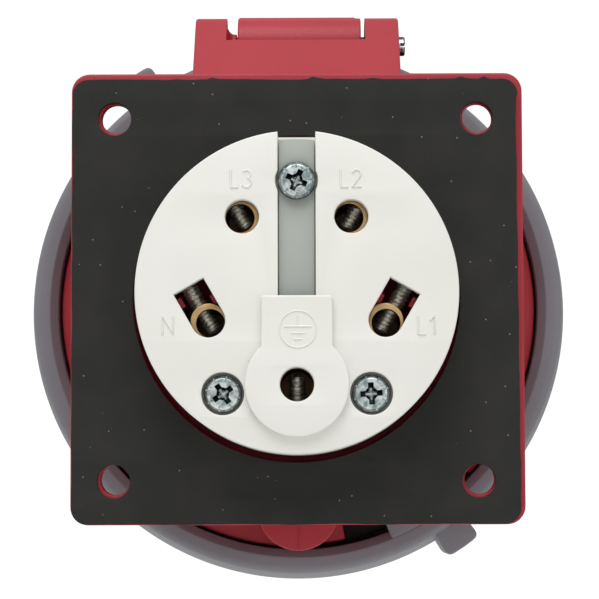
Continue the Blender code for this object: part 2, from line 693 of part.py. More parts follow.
def build_contact(name):
    """Brass contact: a wire sleeve behind, a shoulder in the bulkhead and a slit tube in front."""
    x, z = contact_place(name)
    bore, tube, shoulder = contact_bore(name), contact_tube(name), contact_shoulder(name)
    profile = [
        (0, CONTACT_TIP - CONTACT_TUBE_DEPTH),
        (bore, CONTACT_TIP - CONTACT_TUBE_DEPTH),
        (bore, CONTACT_TIP),
        (tube, CONTACT_TIP),
        (tube, SHOULDER_FRONT),
        (shoulder, SHOULDER_FRONT),
        (shoulder, SHOULDER_REAR),
        (SLEEVE_RADIUS, SHOULDER_REAR),
        (SLEEVE_RADIUS, SLEEVE_REAR),
        (WIRE_BORE_RADIUS, SLEEVE_REAR),
        (WIRE_BORE_RADIUS, SLEEVE_REAR + WIRE_BORE_DEPTH),
        (0, SLEEVE_REAR + WIRE_BORE_DEPTH),
    ]
    contact = turned(f"contact_{name}", profile, False, SEGMENTS_SMALL, (x, 0, z))
    thread = clamp_shape(name, f"{name}_tapped_hole", CLAMP_RADIUS + GAP, 0, SLEEVE_RADIUS * 2)
    slit, wide = FINGER_SLIT / 2, tube + OVERLAP
    low, high = CONTACT_TIP - FINGER_LENGTH, CONTACT_TIP + OVERLAP
    level = box(f"{name}_slit_level", (x - wide, low, z - slit), (x + wide, high, z + slit))
    upright = box(f"{name}_slit_upright", (x - slit, low, z - wide), (x + slit, high, z + wide))
    cut(contact, as_tool(thread), as_tool(level), as_tool(upright))
    return as_part(contact, BRASS)


def build_contact_spring(name):
    """Split steel ring that presses the contact's fingers onto the plug's pin."""
    x, z = contact_place(name)
    front = CONTACT_TIP - SPRING_FROM_TIP
    inner, outer = contact_tube(name) + GAP, spring_outer(name)
    rear = front - SPRING_WIDTH
    label = f"contact_spring_{name}"
    spring = washer(label, inner, outer, rear, front, SEGMENTS_SMALL, (x, 0, z))
    half = SPRING_SPLIT / 2
    low, high = (x - half, rear - OVERLAP, z), (x + half, front + OVERLAP, z + outer * 2)
    cut(spring, as_tool(box(f"{name}_spring_split", low, high)))
    return as_part(spring, SPRING_STEEL)


def build_clamp_screw(name):
    """Headless slotted screw that clamps the wire in its sleeve."""
    x, z = contact_place(name)
    end = CLAMP_LENGTH - CLAMP_TIP
    point = CLAMP_RADIUS * 0.35
    profile = [
        (0, end),
        (CLAMP_RADIUS - point, end),
        (CLAMP_RADIUS, end - point),
        (CLAMP_RADIUS, point - CLAMP_TIP),
        (CLAMP_RADIUS - point, -CLAMP_TIP),
        (0, -CLAMP_TIP),
    ]
    lean = (0, radians(CLAMP_LEAN[name]), 0)
    place = (x, CLAMP_Y, z)
    screw = turned(f"clamp_screw_{name}", profile, False, SEGMENTS_SMALL, place, lean)
    half, wide = CLAMP_SLOT_WIDTH / 2, CLAMP_RADIUS * 2
    low, high = (-half, -wide, end - CLAMP_SLOT_DEPTH), (half, wide, end + OVERLAP)
    cut(screw, as_tool(box(f"{name}_clamp_slot", low, high, lean, place)))
    return as_part(screw, ZINC)


def build_insert():
    """Front insert whose face the plug's pins pass through."""
    flange_rear = INSERT_REAR + INSERT_SEAL_THICKNESS + GAP
    flange_front = flange_rear + INSERT_FLANGE_THICKNESS
    flange_radius = MOUTH_RADIUS - SLIDE_GAP
    hub = flange_radius - INSERT_SEAL_WIDTH - GAP
    edge = 0.8 * MM
    profile = [
        (0, INSERT_FACE),
        (INSERT_RADIUS - edge, INSERT_FACE),
        (INSERT_RADIUS, INSERT_FACE - edge),
        (INSERT_RADIUS, flange_front),
        (flange_radius, flange_front),
        (flange_radius, flange_rear),
        (hub, flange_rear),
        (hub, INSERT_REAR),
        (0, INSERT_REAR),
    ]
    insert = turned("socket_insert", profile, False)
    finger_root = CONTACT_TIP - FINGER_LENGTH
    face_rear, clear = INSERT_FACE - INSERT_FACE_WALL, INSERT_FACE + OVERLAP
    for name in CONTACT_ANGLE:
        spot = contact_place(name)
        guide, chamber = contact_tube(name) + GAP, spring_outer(name) + CONTACT_FLOAT
        mouth = contact_bore(name) + CONTACT_FLOAT
        cut(
            insert,
            drill(f"{name}_guide", spot, guide, 0, finger_root + OVERLAP),
            drill(f"{name}_finger_room", spot, chamber, finger_root, face_rear),
            drill(f"{name}_pin_hole", spot, mouth, finger_root + OVERLAP * 2, clear),
        )
    depth = INSERT_REAR + SCREW_GRIP_IN_INSERT + OVERLAP
    for name in SCREW_ANGLE:
        cut(insert, drill(f"{name}_insert_hole", screw_place(name), SCREW_SHANK_RADIUS + GAP, 0, depth))
    return as_part(insert, WHITE)


def build_insert_seal():
    """Flat seal between the insert's flange and the bulkhead."""
    outer = MOUTH_RADIUS - SLIDE_GAP
    front = INSERT_REAR + INSERT_SEAL_THICKNESS
    seal = washer("insert_seal", outer - INSERT_SEAL_WIDTH, outer, INSERT_REAR, front)
    return as_part(seal, BLACK_RUBBER)


def build_lid(place):
    """Domed lid with a neck for the ring, a seat for its seal, and the hinge arm over the ring."""
    front = LID_RIM_FRONT + LID_DOME
    cavity = LID_SEAL_INNER - SLIDE_GAP
    profile = [
        (0, front),
        (LID_RIM_RADIUS * 0.72, front - LID_DOME * 0.25),
        (LID_RIM_RADIUS - LID_RIM_THICKNESS * 0.3, LID_RIM_FRONT),
        (LID_RIM_RADIUS, LID_RIM_FRONT - LID_RIM_THICKNESS * 0.3),
        (LID_RIM_RADIUS, LID_RIM_REAR),
        (LID_NECK_RADIUS, LID_RIM_REAR),
        (LID_NECK_RADIUS, LID_NECK_REAR),
        (LID_NECK_INNER, LID_NECK_REAR),
        (LID_NECK_INNER, LID_SEAT),
        (cavity, LID_SEAT),
        (cavity, LID_INNER_FRONT),
        (0, LID_INNER_FRONT),
    ]
    lid = turned("lid", profile, False)
    half = ARM_WIDTH / 2
    barrel_low = EAR_LEFT_FACE + BARREL_GAP_LEFT
    barrel_high = EAR_RIGHT_FACE - BARREL_GAP_RIGHT
    barrel = disc("lid_barrel", KNUCKLE_RADIUS, barrel_low, barrel_high, 48, place, ALONG_X)
    top = ARM_UNDER + ARM_THICKNESS
    arm = box("lid_arm", (-half, KNUCKLE_Y, ARM_UNDER), (half, LID_RIM_FRONT, top))
    drop = box("lid_arm_drop", (-half, LID_RIM_REAR, LID_RIM_RADIUS * 0.8), (half, LID_RIM_FRONT, top))
    join(lid, *(as_tool(tool) for tool in (barrel, arm, drop)))
    cut(lid, pin_bore("lid_pin_bore", place))
    return as_part(lid, RED)


def build_lid_seal():
    """Rubber ring that the lid presses onto the housing's front rim."""
    front = LID_SEAL_REAR + LID_SEAL_THICKNESS
    return as_part(washer("lid_seal", LID_SEAL_INNER, LID_SEAL_OUTER, LID_SEAL_REAR, front), BLACK_RUBBER)


def build_retainer():
    """Snap ring on the lid's neck that keeps the bayonet ring on."""
    inner = LID_NECK_RADIUS + GAP
    front = RETAINER_REAR + RETAINER_THICKNESS
    retainer = washer("ring_retainer", inner, inner + RETAINER_WIDTH, RETAINER_REAR, front)
    return as_part(retainer, RETAINER_BLACK)


def build_bayonet_ring():
    """Grip ring with two inner lugs, two outer grip tabs and a front lip that turns on the lid's neck."""
    lip = LID_NECK_RADIUS + RING_LIP_GAP
    edge = RING_CHAMFER
    profile = [
        (lip, RING_FRONT),
        (RING_RADIUS - edge, RING_FRONT),
        (RING_RADIUS, RING_FRONT - edge),
        (RING_RADIUS, RING_REAR + edge / 2),
        (RING_RADIUS - edge / 2, RING_REAR),
        (RING_BORE + edge, RING_REAR),
        (RING_BORE, RING_REAR + edge),
        (RING_BORE, RING_LIP_REAR),
        (lip, RING_LIP_REAR),
    ]
    ring = turned("bayonet_ring", profile, True)
    root = RING_BORE + OVERLAP
    skin = RING_RADIUS - RING_WALL / 2
    lug_rear = RING_REAR + SLIDE_GAP / 2
    for turn in range(RING_TURNS):
        offset = turn * 2 * pi / RING_TURNS
        lug = sector(RING_BORE - LUG_HEIGHT, root, LUG_START + offset, LUG_END + offset)
        tab = sector(skin, RING_RADIUS + TAB_HEIGHT, TAB_START + offset, TAB_END + offset)
        tab_rear = RING_REAR + edge * 1.5
        join(
            ring,
            as_tool(prism(f"ring_lug_{turn}", lug, lug_rear, lug_rear + LUG_THICKNESS)),
            as_tool(prism(f"ring_tab_{turn}", tab, tab_rear, tab_rear + TAB_LENGTH)),
        )
    return as_part(ring, GREY)


def build_hinge_pin(place):
    """Slotted pin through the ears and the lid's barrel."""
    low, high = -HINGE_WIDTH / 2 + 2 * GAP + OVERLAP, HINGE_WIDTH / 2 + PIN_PROUD
    pin = disc("hinge_pin", PIN_RADIUS, low, high, SEGMENTS_SMALL, place, ALONG_X)
    half, wide = PIN_SLOT_WIDTH / 2, PIN_RADIUS * 2
    slot = box("pin_slot", (high - PIN_SLOT_DEPTH, -wide, -half), (high + OVERLAP, wide, half), place=place)
    cut(pin, as_tool(slot))
    return as_part(pin, ZINC)


def main():
    build_housing()
    build_gasket()
    build_carrier()
    build_strip()
    build_earth_cover()
    for name in SCREW_ANGLE:
        build_carrier_screw(name)
    for name in CONTACT_ANGLE:
        build_contact(name)
        build_contact_spring(name)
        build_clamp_screw(name)
    build_insert()
    build_insert_seal()
    hinge_axis = (0, KNUCKLE_Y, KNUCKLE_Z)
    build_lid(hinge_axis)
    build_lid_seal()
    build_retainer()
    build_bayonet_ring()
    build_hinge_pin(hinge_axis)


clear_scene()
PARTS = make_collection("panel_socket")
TOOLS = make_collection("panel_socket_cutters")
main()
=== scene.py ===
"""Looks of a five-pole watertight panel socket, seen from its wiring side.

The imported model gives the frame: the wires enter at -Y, the plug at +Y, and the lid's hinge is at +Z.
Shapes are made in millimetres round the origin, and finish_piece puts them in metres.
"""

from __future__ import annotations

import json
import logging
import math
from collections.abc import Iterable, Sequence
from dataclasses import dataclass, field
from enum import Enum
from random import Random
from typing import Any

import bmesh
import bpy
from mathutils import Matrix, Vector


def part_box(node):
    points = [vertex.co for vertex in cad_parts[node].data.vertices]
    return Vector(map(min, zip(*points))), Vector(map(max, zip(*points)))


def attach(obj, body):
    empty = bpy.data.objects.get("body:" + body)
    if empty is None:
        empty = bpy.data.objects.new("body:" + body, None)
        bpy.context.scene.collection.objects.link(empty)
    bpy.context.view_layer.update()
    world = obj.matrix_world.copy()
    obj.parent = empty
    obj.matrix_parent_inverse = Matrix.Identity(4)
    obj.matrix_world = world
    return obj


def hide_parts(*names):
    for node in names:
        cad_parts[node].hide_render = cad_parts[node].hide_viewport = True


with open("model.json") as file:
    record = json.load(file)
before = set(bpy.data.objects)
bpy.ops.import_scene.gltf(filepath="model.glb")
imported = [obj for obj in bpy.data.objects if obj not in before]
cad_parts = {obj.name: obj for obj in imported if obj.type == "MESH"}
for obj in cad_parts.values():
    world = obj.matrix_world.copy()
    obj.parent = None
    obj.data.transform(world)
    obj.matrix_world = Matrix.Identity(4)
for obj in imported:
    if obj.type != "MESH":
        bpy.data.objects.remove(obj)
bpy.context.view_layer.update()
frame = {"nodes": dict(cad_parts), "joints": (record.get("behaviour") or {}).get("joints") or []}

MM = 0.001
TAU = 2 * math.pi
LOG = logging.getLogger("panel_socket")

Point = tuple[float, float]
Outline = list[Point]
Shape = bpy.types.Object
Tree = bpy.types.NodeTree
Output = bpy.types.NodeSocket

# Turn a shape made along Y: up along Z, or sideways along X.
UPWARDS = Matrix.Rotation(math.pi / 2, 4, "X")
SIDEWAYS = Matrix.Rotation(-math.pi / 2, 4, "Z")


class Axis(Enum):
    """The direction that a flat outline is made thick along, with the turn that puts it there."""

    Y = Matrix.Rotation(math.pi / 2, 4, "X")
    X = Matrix(((0, 0, 1, 0), (1, 0, 0, 0), (0, 1, 0, 0), (0, 0, 0, 1)))


class Boolean(Enum):
    """What a tool shape does to another."""

    CUT = "DIFFERENCE"
    JOIN = "UNION"


class Body(Enum):
    """The bodies that pieces ride on, apart from the clamp screws' own."""

    HOUSING = "housing"
    LID = "lid"
    RING = "ring"


# ---------------------------------------------------------------- places


@dataclass(frozen=True)
class Span:
    """The lowest and highest corner of a CAD node at rest, in millimetres."""

    low: Vector
    high: Vector

    @property
    def middle(self) -> Vector:
        """The centre of the box."""
        return (self.low + self.high) / 2

    @property
    def size(self) -> Vector:
        """The box's size along each axis."""
        return self.high - self.low


def span(node: str) -> Span:
    """The box of a CAD node, in millimetres."""
    low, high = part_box(node)
    return Span(low / MM, high / MM)


def clock(radius: float, degrees: float) -> Point:
    """X and Z of a point on a circle, its angle taken from the bottom towards +X."""
    turn = math.radians(degrees)
    return radius * math.sin(turn), -radius * math.cos(turn)


# ---------------------------------------------------------------- outlines


def arc(centre: Point, radius: float, start: float, end: float, steps: int) -> Outline:
    """Points on a circle between two angles.

    Args:
        centre: The circle's centre.
        radius: The circle's radius.
        start: First angle in degrees, counterclockwise from the first axis.
        end: Last angle in degrees.
        steps: How many equal parts the arc has.

    Returns:
        The points, the first and last included.
    """
    turns = [math.radians(start + (end - start) * i / steps) for i in range(steps + 1)]
    return [(centre[0] + radius * math.cos(t), centre[1] + radius * math.sin(t)) for t in turns]


def circle(centre: Point, radius: float, steps: int = 64) -> Outline:
    """A whole circle as an outline."""
    return arc(centre, radius, 0, 360, steps)[:-1]


def sector(inner: float, outer: float, start: float, end: float, step: float = 2.0) -> Outline:
    """The outline of part of a ring between two clock angles, in degrees."""
    steps = max(2, round((end - start) / step))
    turns = [start + (end - start) * i / steps for i in range(steps + 1)]
    return [clock(outer, t) for t in turns] + [clock(inner, t) for t in reversed(turns)]


def rounded(points: Sequence[Point], radius: float, closed: bool = True, steps: int = 4) -> Outline:
    """Rounds the corners of an outline or of a turned profile.

    Args:
        points: The outline's corners.
        radius: The corners' radius, made smaller where two corners are close.
        closed: Whether the last point joins the first. An open one keeps its ends.
        steps: How many parts each rounded corner has.

    Returns:
        The outline with an arc at each real corner.
    """
    made: Outline = []
    count = len(points)
    for i, point in enumerate(points):
        corner = Vector(point)
        if not closed and i in (0, count - 1):
            made.append(point)
            continue
        before, after = Vector(points[i - 1]) - corner, Vector(points[(i + 1) % count]) - corner
        shortest = min(before.length, after.length)
        opening = before.angle(after)
        if opening > math.radians(165) or shortest < 1e-4:
            made.append(point)
            continue
        setback = min(radius / math.tan(opening / 2), 0.45 * shortest)
        first, last = before.normalized() * setback, after.normalized() * setback
        for step in range(steps + 1):
            share = step / steps
            blend = corner + first * (1 - share) ** 2 + last * share**2
            made.append((blend.x, blend.y))
    return made


# ---------------------------------------------------------------- shapes


def shape_of(form: bmesh.types.BMesh, name: str) -> Shape:
    """Makes a closed form into an object whose faces point outwards."""
    bmesh.ops.remove_doubles(form, verts=form.verts, dist=1e-4)
    bmesh.ops.recalc_face_normals(form, faces=form.faces)
    mesh = bpy.data.meshes.new(name)
    form.to_mesh(mesh)
    form.free()
    shape = bpy.data.objects.new(name, mesh)
    bpy.context.scene.collection.objects.link(shape)
    return shape


def settled(shape: Shape) -> Shape:
    """Applies a shape's modifiers and its place, and leaves a plain mesh at the origin."""
    graph = bpy.context.evaluated_depsgraph_get()
    mesh = bpy.data.meshes.new_from_object(shape.evaluated_get(graph))
    mesh.transform(shape.matrix_world)
    name = shape.name
    bpy.data.objects.remove(shape)
    plain = bpy.data.objects.new(name, mesh)
    bpy.context.scene.collection.objects.link(plain)
    return plain


def turned(
    name: str,
    profile: Sequence[Point],
    centre: Point = (0, 0),
    closed: bool = False,
    steps: int = 160,
) -> Shape:
    """Turns a profile about an axis along Y.

    Args:
        name: The shape's name.
        profile: (radius, y) points. An open profile starts and ends on the axis.
        centre: X and Z of the axis.
        closed: Whether the last point joins the first, which leaves a bore.
        steps: How many parts the turn has.

    Returns:
        The solid shape.
    """
    form = bmesh.new()
    rings = []
    for radius, y in profile:
        if radius < 1e-6:
            rings.append([form.verts.new((centre[0], y, centre[1]))] * steps)
            continue
        turns = [TAU * (i + 0.5) / steps for i in range(steps)]
        place = [(centre[0] + radius * math.cos(t), y, centre[1] + radius * math.sin(t)) for t in turns]
        rings.append([form.verts.new(p) for p in place])
    pairs = list(zip(rings, rings[1:]))
    if closed:
        pairs.append((rings[-1], rings[0]))
    for one, two in pairs:
        for i in range(steps):
            j = (i + 1) % steps
            corners = list(dict.fromkeys((one[i], one[j], two[j], two[i])))
            if len(corners) > 2:
                form.faces.new(corners)
    return shape_of(form, name)


def rod(name: str, radius: float, low: float, high: float, centre: Point = (0, 0), steps: int = 64) -> Shape:
    """A plain cylinder along Y, for cutting and joining."""
    return turned(name, [(0, low), (radius, low), (radius, high), (0, high)], centre, steps=steps)


def block(name: str, low: Sequence[float], high: Sequence[float]) -> Shape:
    """A box between two corners, for cutting and joining."""
    form = bmesh.new()
    bmesh.ops.create_cube(form, size=1)
    middle = (Vector(low) + Vector(high)) / 2
    bmesh.ops.scale(form, vec=Vector(high) - Vector(low), verts=form.verts)
    bmesh.ops.translate(form, vec=middle, verts=form.verts)
    return shape_of(form, name)


def solid_of(name: str, curve: bpy.types.Curve, lines: Iterable[tuple[list, bool]], place: Matrix) -> Shape:
    """Turns a curve that has a thickness into a solid shape, and removes the curve.

    Args:
        name: The shape's name.
        curve: The curve, without its lines.
        lines: Each line's (x, y, z) points, and whether its ends meet.
        place: Puts the solid in its place.

    Returns:
        The solid shape.
    """
    for points, closed in lines:
        spline = curve.splines.new("POLY")
        spline.points.add(len(points) - 1)
        for point, spot in zip(spline.points, points):
            point.co = (*spot, 1)
        spline.use_cyclic_u = closed
    holder = bpy.data.objects.new(name, curve)
    bpy.context.scene.collection.objects.link(holder)
    bpy.context.view_layer.update()
    mesh = bpy.data.meshes.new_from_object(holder.evaluated_get(bpy.context.evaluated_depsgraph_get()))
    bpy.data.objects.remove(holder)
    bpy.data.curves.remove(curve)
    mesh.transform(place)
    form = bmesh.new()
    form.from_mesh(mesh)
    bpy.data.meshes.remove(mesh)
    return shape_of(form, name)


def extruded(
    name: str, loops: Iterable[Outline], low: float, high: float, edge: float, axis: Axis = Axis.Y
) -> Shape:
    """Makes a flat outline with holes thick, with rounded edges.

    Args:
        name: The shape's name.
        loops: The outline and its holes, in X and Z, or in Y and Z for Axis.X.
        low: Where the thickness starts along the axis.
        high: Where it ends.
        edge: Radius of the edges.
        axis: The direction of the thickness.

    Returns:
        The solid shape.
    """
    curve = bpy.data.curves.new(name, "CURVE")
    curve.dimensions = "2D"
    curve.fill_mode = "BOTH"
    curve.extrude = (high - low) / 2 - edge
    curve.bevel_depth = edge
    curve.bevel_resolution = 2
    curve.offset = -edge
    middle = (low + high) / 2
    shift = Vector((0, middle, 0)) if axis is Axis.Y else Vector((middle, 0, 0))
    lines = [([(across, up, 0) for across, up in loop], True) for loop in loops]
    return solid_of(name, curve, lines, Matrix.Translation(shift) @ axis.value)


def ridges(name: str, paths: Iterable[Outline], width: float, height: float, y: float) -> Shape:
    """Raised moulded lines on a face that looks towards -Y.

    Args:
        name: The shape's name.
        paths: The lines' points in X and Z. A closed line repeats its first point.
        width: The lines' width.
        height: How far they stand out of the face.
        y: Where the face is.

    Returns:
        One shape that holds all the lines.
    """
    curve = bpy.data.curves.new(name, "CURVE")
    curve.dimensions = "3D"
    curve.bevel_depth = width / 2
    curve.bevel_resolution = 1
    curve.use_fill_caps = True
    lines = []
    for path in paths:
        ends_meet = (Vector(path[0]) - Vector(path[-1])).length < 1e-6
        lines.append(([(x, 0, z) for x, z in (path[:-1] if ends_meet else path)], ends_meet))
    flatten = Matrix.Diagonal((1, 2 * height / width, 1, 1))
    return solid_of(name, curve, lines, Matrix.Translation((0, y, 0)) @ flatten)


def combined(target: Shape, tools: Iterable[Shape], how: Boolean) -> Shape:
    """Cuts tools from a shape, or joins them to it, one after another, and removes the tools."""
    for tool in tools:
        modifier = target.modifiers.new(tool.name, "BOOLEAN")
        modifier.operation = how.value
        modifier.solver = "EXACT"
        modifier.object = tool
        bpy.context.view_layer.update()
        target = settled(target)
        bpy.data.objects.remove(tool)
    return target


def placed(shape: Shape, matrix: Matrix) -> Shape:
    """Moves a shape's mesh, and leaves its object at the origin."""
    shape.data.transform(matrix)
    return shape


# ---------------------------------------------------------------- nodes


def add_node(tree: Tree, kind: str, links: dict[Any, Any] | None = None, **settings: Any) -> Any:
    """Adds a node with its settings and links.

    Args:
        tree: The shader or geometry tree.
        kind: The node's type, such as ShaderNodeMath.
        links: For each input, by name or number, a value or another node's output.
        settings: The node's own properties.

    Returns:
        The node.
    """
    node = tree.nodes.new(kind)
    for name, value in settings.items():
        setattr(node, name, value)
    for socket, value in (links or {}).items():
        if isinstance(value, Output):
            tree.links.new(value, node.inputs[socket])
        else:
            node.inputs[socket].default_value = value
    return node


def add_math(tree: Tree, how: str, *values: Any) -> Output:
    """Adds a Math node that works on values or outputs, and returns its output."""
    return add_node(tree, "ShaderNodeMath", dict(enumerate(values)), operation=how).outputs[0]


def add_range(
    tree: Tree, value: Output, low: float, high: float, start: float = 0.0, end: float = 1.0, **more: Any
) -> Output:
    """Takes a value from one range to another.

    Args:
        tree: The shader or geometry tree.
        value: The value's output.
        low: The value that gives start.
        high: The value that gives end.
        start: First end of the new range.
        end: Other end of the new range.
        more: The node's own properties.

    Returns:
        The new value's output.
    """
    links = {"Value": value, "From Min": low, "From Max": high, "To Min": start, "To Max": end}
    return add_node(tree, "ShaderNodeMapRange", links, **more).outputs["Result"]


def add_mix(tree: Tree, share: Output, first: Any, second: Any) -> Output:
    """Mixes two colours by a share and returns the new colour."""
    links = {"Factor": share, 6: first, 7: second}
    return add_node(tree, "ShaderNodeMix", links, data_type="RGBA").outputs[2]


def add_noise(tree: Tree, where: Output, patch: float, detail: float) -> Output:
    """Cloudy noise whose patches have the given size in millimetres."""
    links = {"Vector": where, "Scale": 1 / (patch * MM), "Detail": detail}
    return add_node(tree, "ShaderNodeTexNoise", links).outputs["Fac"]


def add_cells(tree: Tree, where: Output, size: float) -> Any:
    """Round cells of the given size in millimetres."""
    return add_node(tree, "ShaderNodeTexVoronoi", {"Vector": where, "Scale": 1 / (size * MM)})


def linear(code: str) -> tuple[float, float, float, float]:
    """Turns an sRGB hex colour into the linear colour that shaders take."""
    parts = [int(code[i : i + 2], 16) / 255 for i in (1, 3, 5)]
    return (*(c / 12.92 if c <= 0.04045 else ((c + 0.055) / 1.055) ** 2.4 for c in parts), 1.0)


@dataclass(frozen=True)
class Dust:
    """Small pale specks that lie on a surface.

    Attributes:
        spacing: Distance between the places that can hold a speck, in millimetres.
        size: A speck's radius, as a part of the spacing.
        share: Share of the places that hold one.
        tint: The specks' colour as sRGB hex.
        cover: How much of the colour under them they hide.
    """

    spacing: float
    size: float
    share: float
    tint: str
    cover: float = 1.0

    def lay(self, tree: Tree, where: Output, colour: Output) -> Output:
        """Lays the specks over a colour and returns the new colour."""
        cells = add_cells(tree, where, self.spacing)
        dot = add_math(tree, "LESS_THAN", cells.outputs["Distance"], self.size)
        rare = add_math(tree, "LESS_THAN", cells.outputs["Color"], self.share)
        speck = add_math(tree, "MULTIPLY", dot, rare)
        return add_mix(tree, add_math(tree, "MULTIPLY", speck, self.cover), colour, linear(self.tint))


@dataclass(frozen=True)
class Surface:
    """What every material of the socket has.

    Attributes:
        name: The material's name.
        tone: Its main colour as sRGB hex.
        second: The colour that it has in slow patches.
    """

    name: str
    tone: str
    second: str

    def start(self) -> tuple[bpy.types.Material, Any, Output]:
        """Starts the material and returns it, its shader and its object coordinates."""
        material = bpy.data.materials.new(self.name)
        material.use_nodes = True
        shader = material.node_tree.nodes["Principled BSDF"]
        return material, shader, add_node(material.node_tree, "ShaderNodeTexCoord").outputs["Object"]

    def patchy(self, tree: Tree, noise: Output, low: float, high: float) -> Output:
        """The main colour with patches of the second, which start and end at two noise levels."""
        return add_mix(tree, add_range(tree, noise, low, high), linear(self.tone), linear(self.second))

    @staticmethod
    def roughen(tree: Tree, shader: Any, noise: Output, low: float, high: float) -> None:
        """Lets the roughness follow a fine noise between two values."""
        tree.links.new(add_range(tree, noise, 0.3, 0.7, low, high), shader.inputs["Roughness"])

    @staticmethod
    def emboss(tree: Tree, shader: Any, height: Output, strength: float, depth: float) -> None:
        """Lets the surface follow a height, its depth in millimetres."""
        links = {"Height": height, "Strength": strength, "Distance": depth * MM}
        tree.links.new(add_node(tree, "ShaderNodeBump", links).outputs["Normal"], shader.inputs["Normal"])


@dataclass(frozen=True)
class MouldedPlastic(Surface):
    """Injection-moulded plastic: a faint spark-eroded grain, slow shifts of tone, a satin gloss.

    Attributes:
        roughness: Middle roughness of the moulded face.
        grain: Spacing of the tool's grain in millimetres.
        relief: Depth of the grain, from 0 to 1.
        specks: Share of dust-pale spots, 0 for none.
    """

    roughness: float
    grain: float = 0.35
    relief: float = 0.12
    specks: float = 0.0

    def make(self) -> bpy.types.Material:
        """Builds the material's nodes."""
        material, shader, where = self.start()
        tree = material.node_tree
        fine = add_noise(tree, where, self.grain, 2.0)
        colour = self.patchy(tree, add_noise(tree, where, 18.0, 3.0), 0.35, 0.7)
        if self.specks:
            colour = Dust(1.6, 0.07, self.specks, "#b9b2a6", 0.5).lay(tree, where, colour)
        tree.links.new(colour, shader.inputs["Base Color"])
        self.roughen(tree, shader, fine, self.roughness - 0.05, self.roughness + 0.07)
        self.emboss(tree, shader, fine, self.relief, 0.05)
        return material


@dataclass(frozen=True)
class FoamRubber(Surface):
    """Closed-cell foam rubber cut from sheet: sooty, nearly matt, pitted by cells, with cutting dust.

    Attributes:
        cell: Size of the cells in millimetres.
        dust: Share of the pale dust specks.
    """

    cell: float
    dust: float

    def make(self) -> bpy.types.Material:
        """Builds the material's nodes."""
        material, shader, where = self.start()
        tree = material.node_tree
        shader.inputs["Roughness"].default_value = 0.85
        shader.inputs["Specular IOR Level"].default_value = 0.22
        skin = self.patchy(tree, add_noise(tree, where, 9.0, 5.0), 0.4, 0.75)
        colour = Dust(1.8, 0.06, self.dust, "#8f8a80").lay(tree, where, skin)
        tree.links.new(colour, shader.inputs["Base Color"])
        pits = add_cells(tree, where, self.cell).outputs["Distance"]
        self.emboss(tree, shader, pits, 0.35, 0.08)
        return material


@dataclass(frozen=True)
class WorkedMetal(Surface):
    """A turned or plated metal: fine tool marks, and a stain that shifts its colour a little.

    Attributes:
        roughness: Middle roughness.
        patch: Size of the stained patches in millimetres.
        painted_shade: Colour of the painted shade on faces that are turned away from -Y, if it has one.
    """

    roughness: float
    patch: float
    painted_shade: str = ""

    def make(self) -> bpy.types.Material:
        """Builds the material's nodes."""
        material, shader, where = self.start()
        tree = material.node_tree
        shader.inputs["Metallic"].default_value = 1.0
        colour = self.patchy(tree, add_noise(tree, where, self.patch, 3.0), 0.38, 0.64)
        # Painted shade: faces turned away from -Y, such as bores and recesses, get a dark colour.
        if self.painted_shade:
            colour = self.paint_shade(tree, colour)
        marks = add_noise(tree, where, 0.12, 2.0)
        tree.links.new(colour, shader.inputs["Base Color"])
        self.roughen(tree, shader, marks, self.roughness - 0.08, self.roughness + 0.12)
        self.emboss(tree, shader, marks, 0.15, 0.02)
        return material

    def paint_shade(self, tree: Tree, colour: Output) -> Output:
        """Paints shade over faces that are turned away from -Y and returns the new colour."""
        facing = add_node(tree, "ShaderNodeTexCoord").outputs["Normal"]
        parts = add_node(tree, "ShaderNodeSeparateXYZ", {0: facing})
        return add_mix(tree, add_range(tree, parts.outputs["Y"], -0.93, -0.6), colour, linear(self.painted_shade))


@dataclass(frozen=True)
class Finish:
    """A material, and the record's slot that it stands for."""

    material: bpy.types.Material
    slot: str


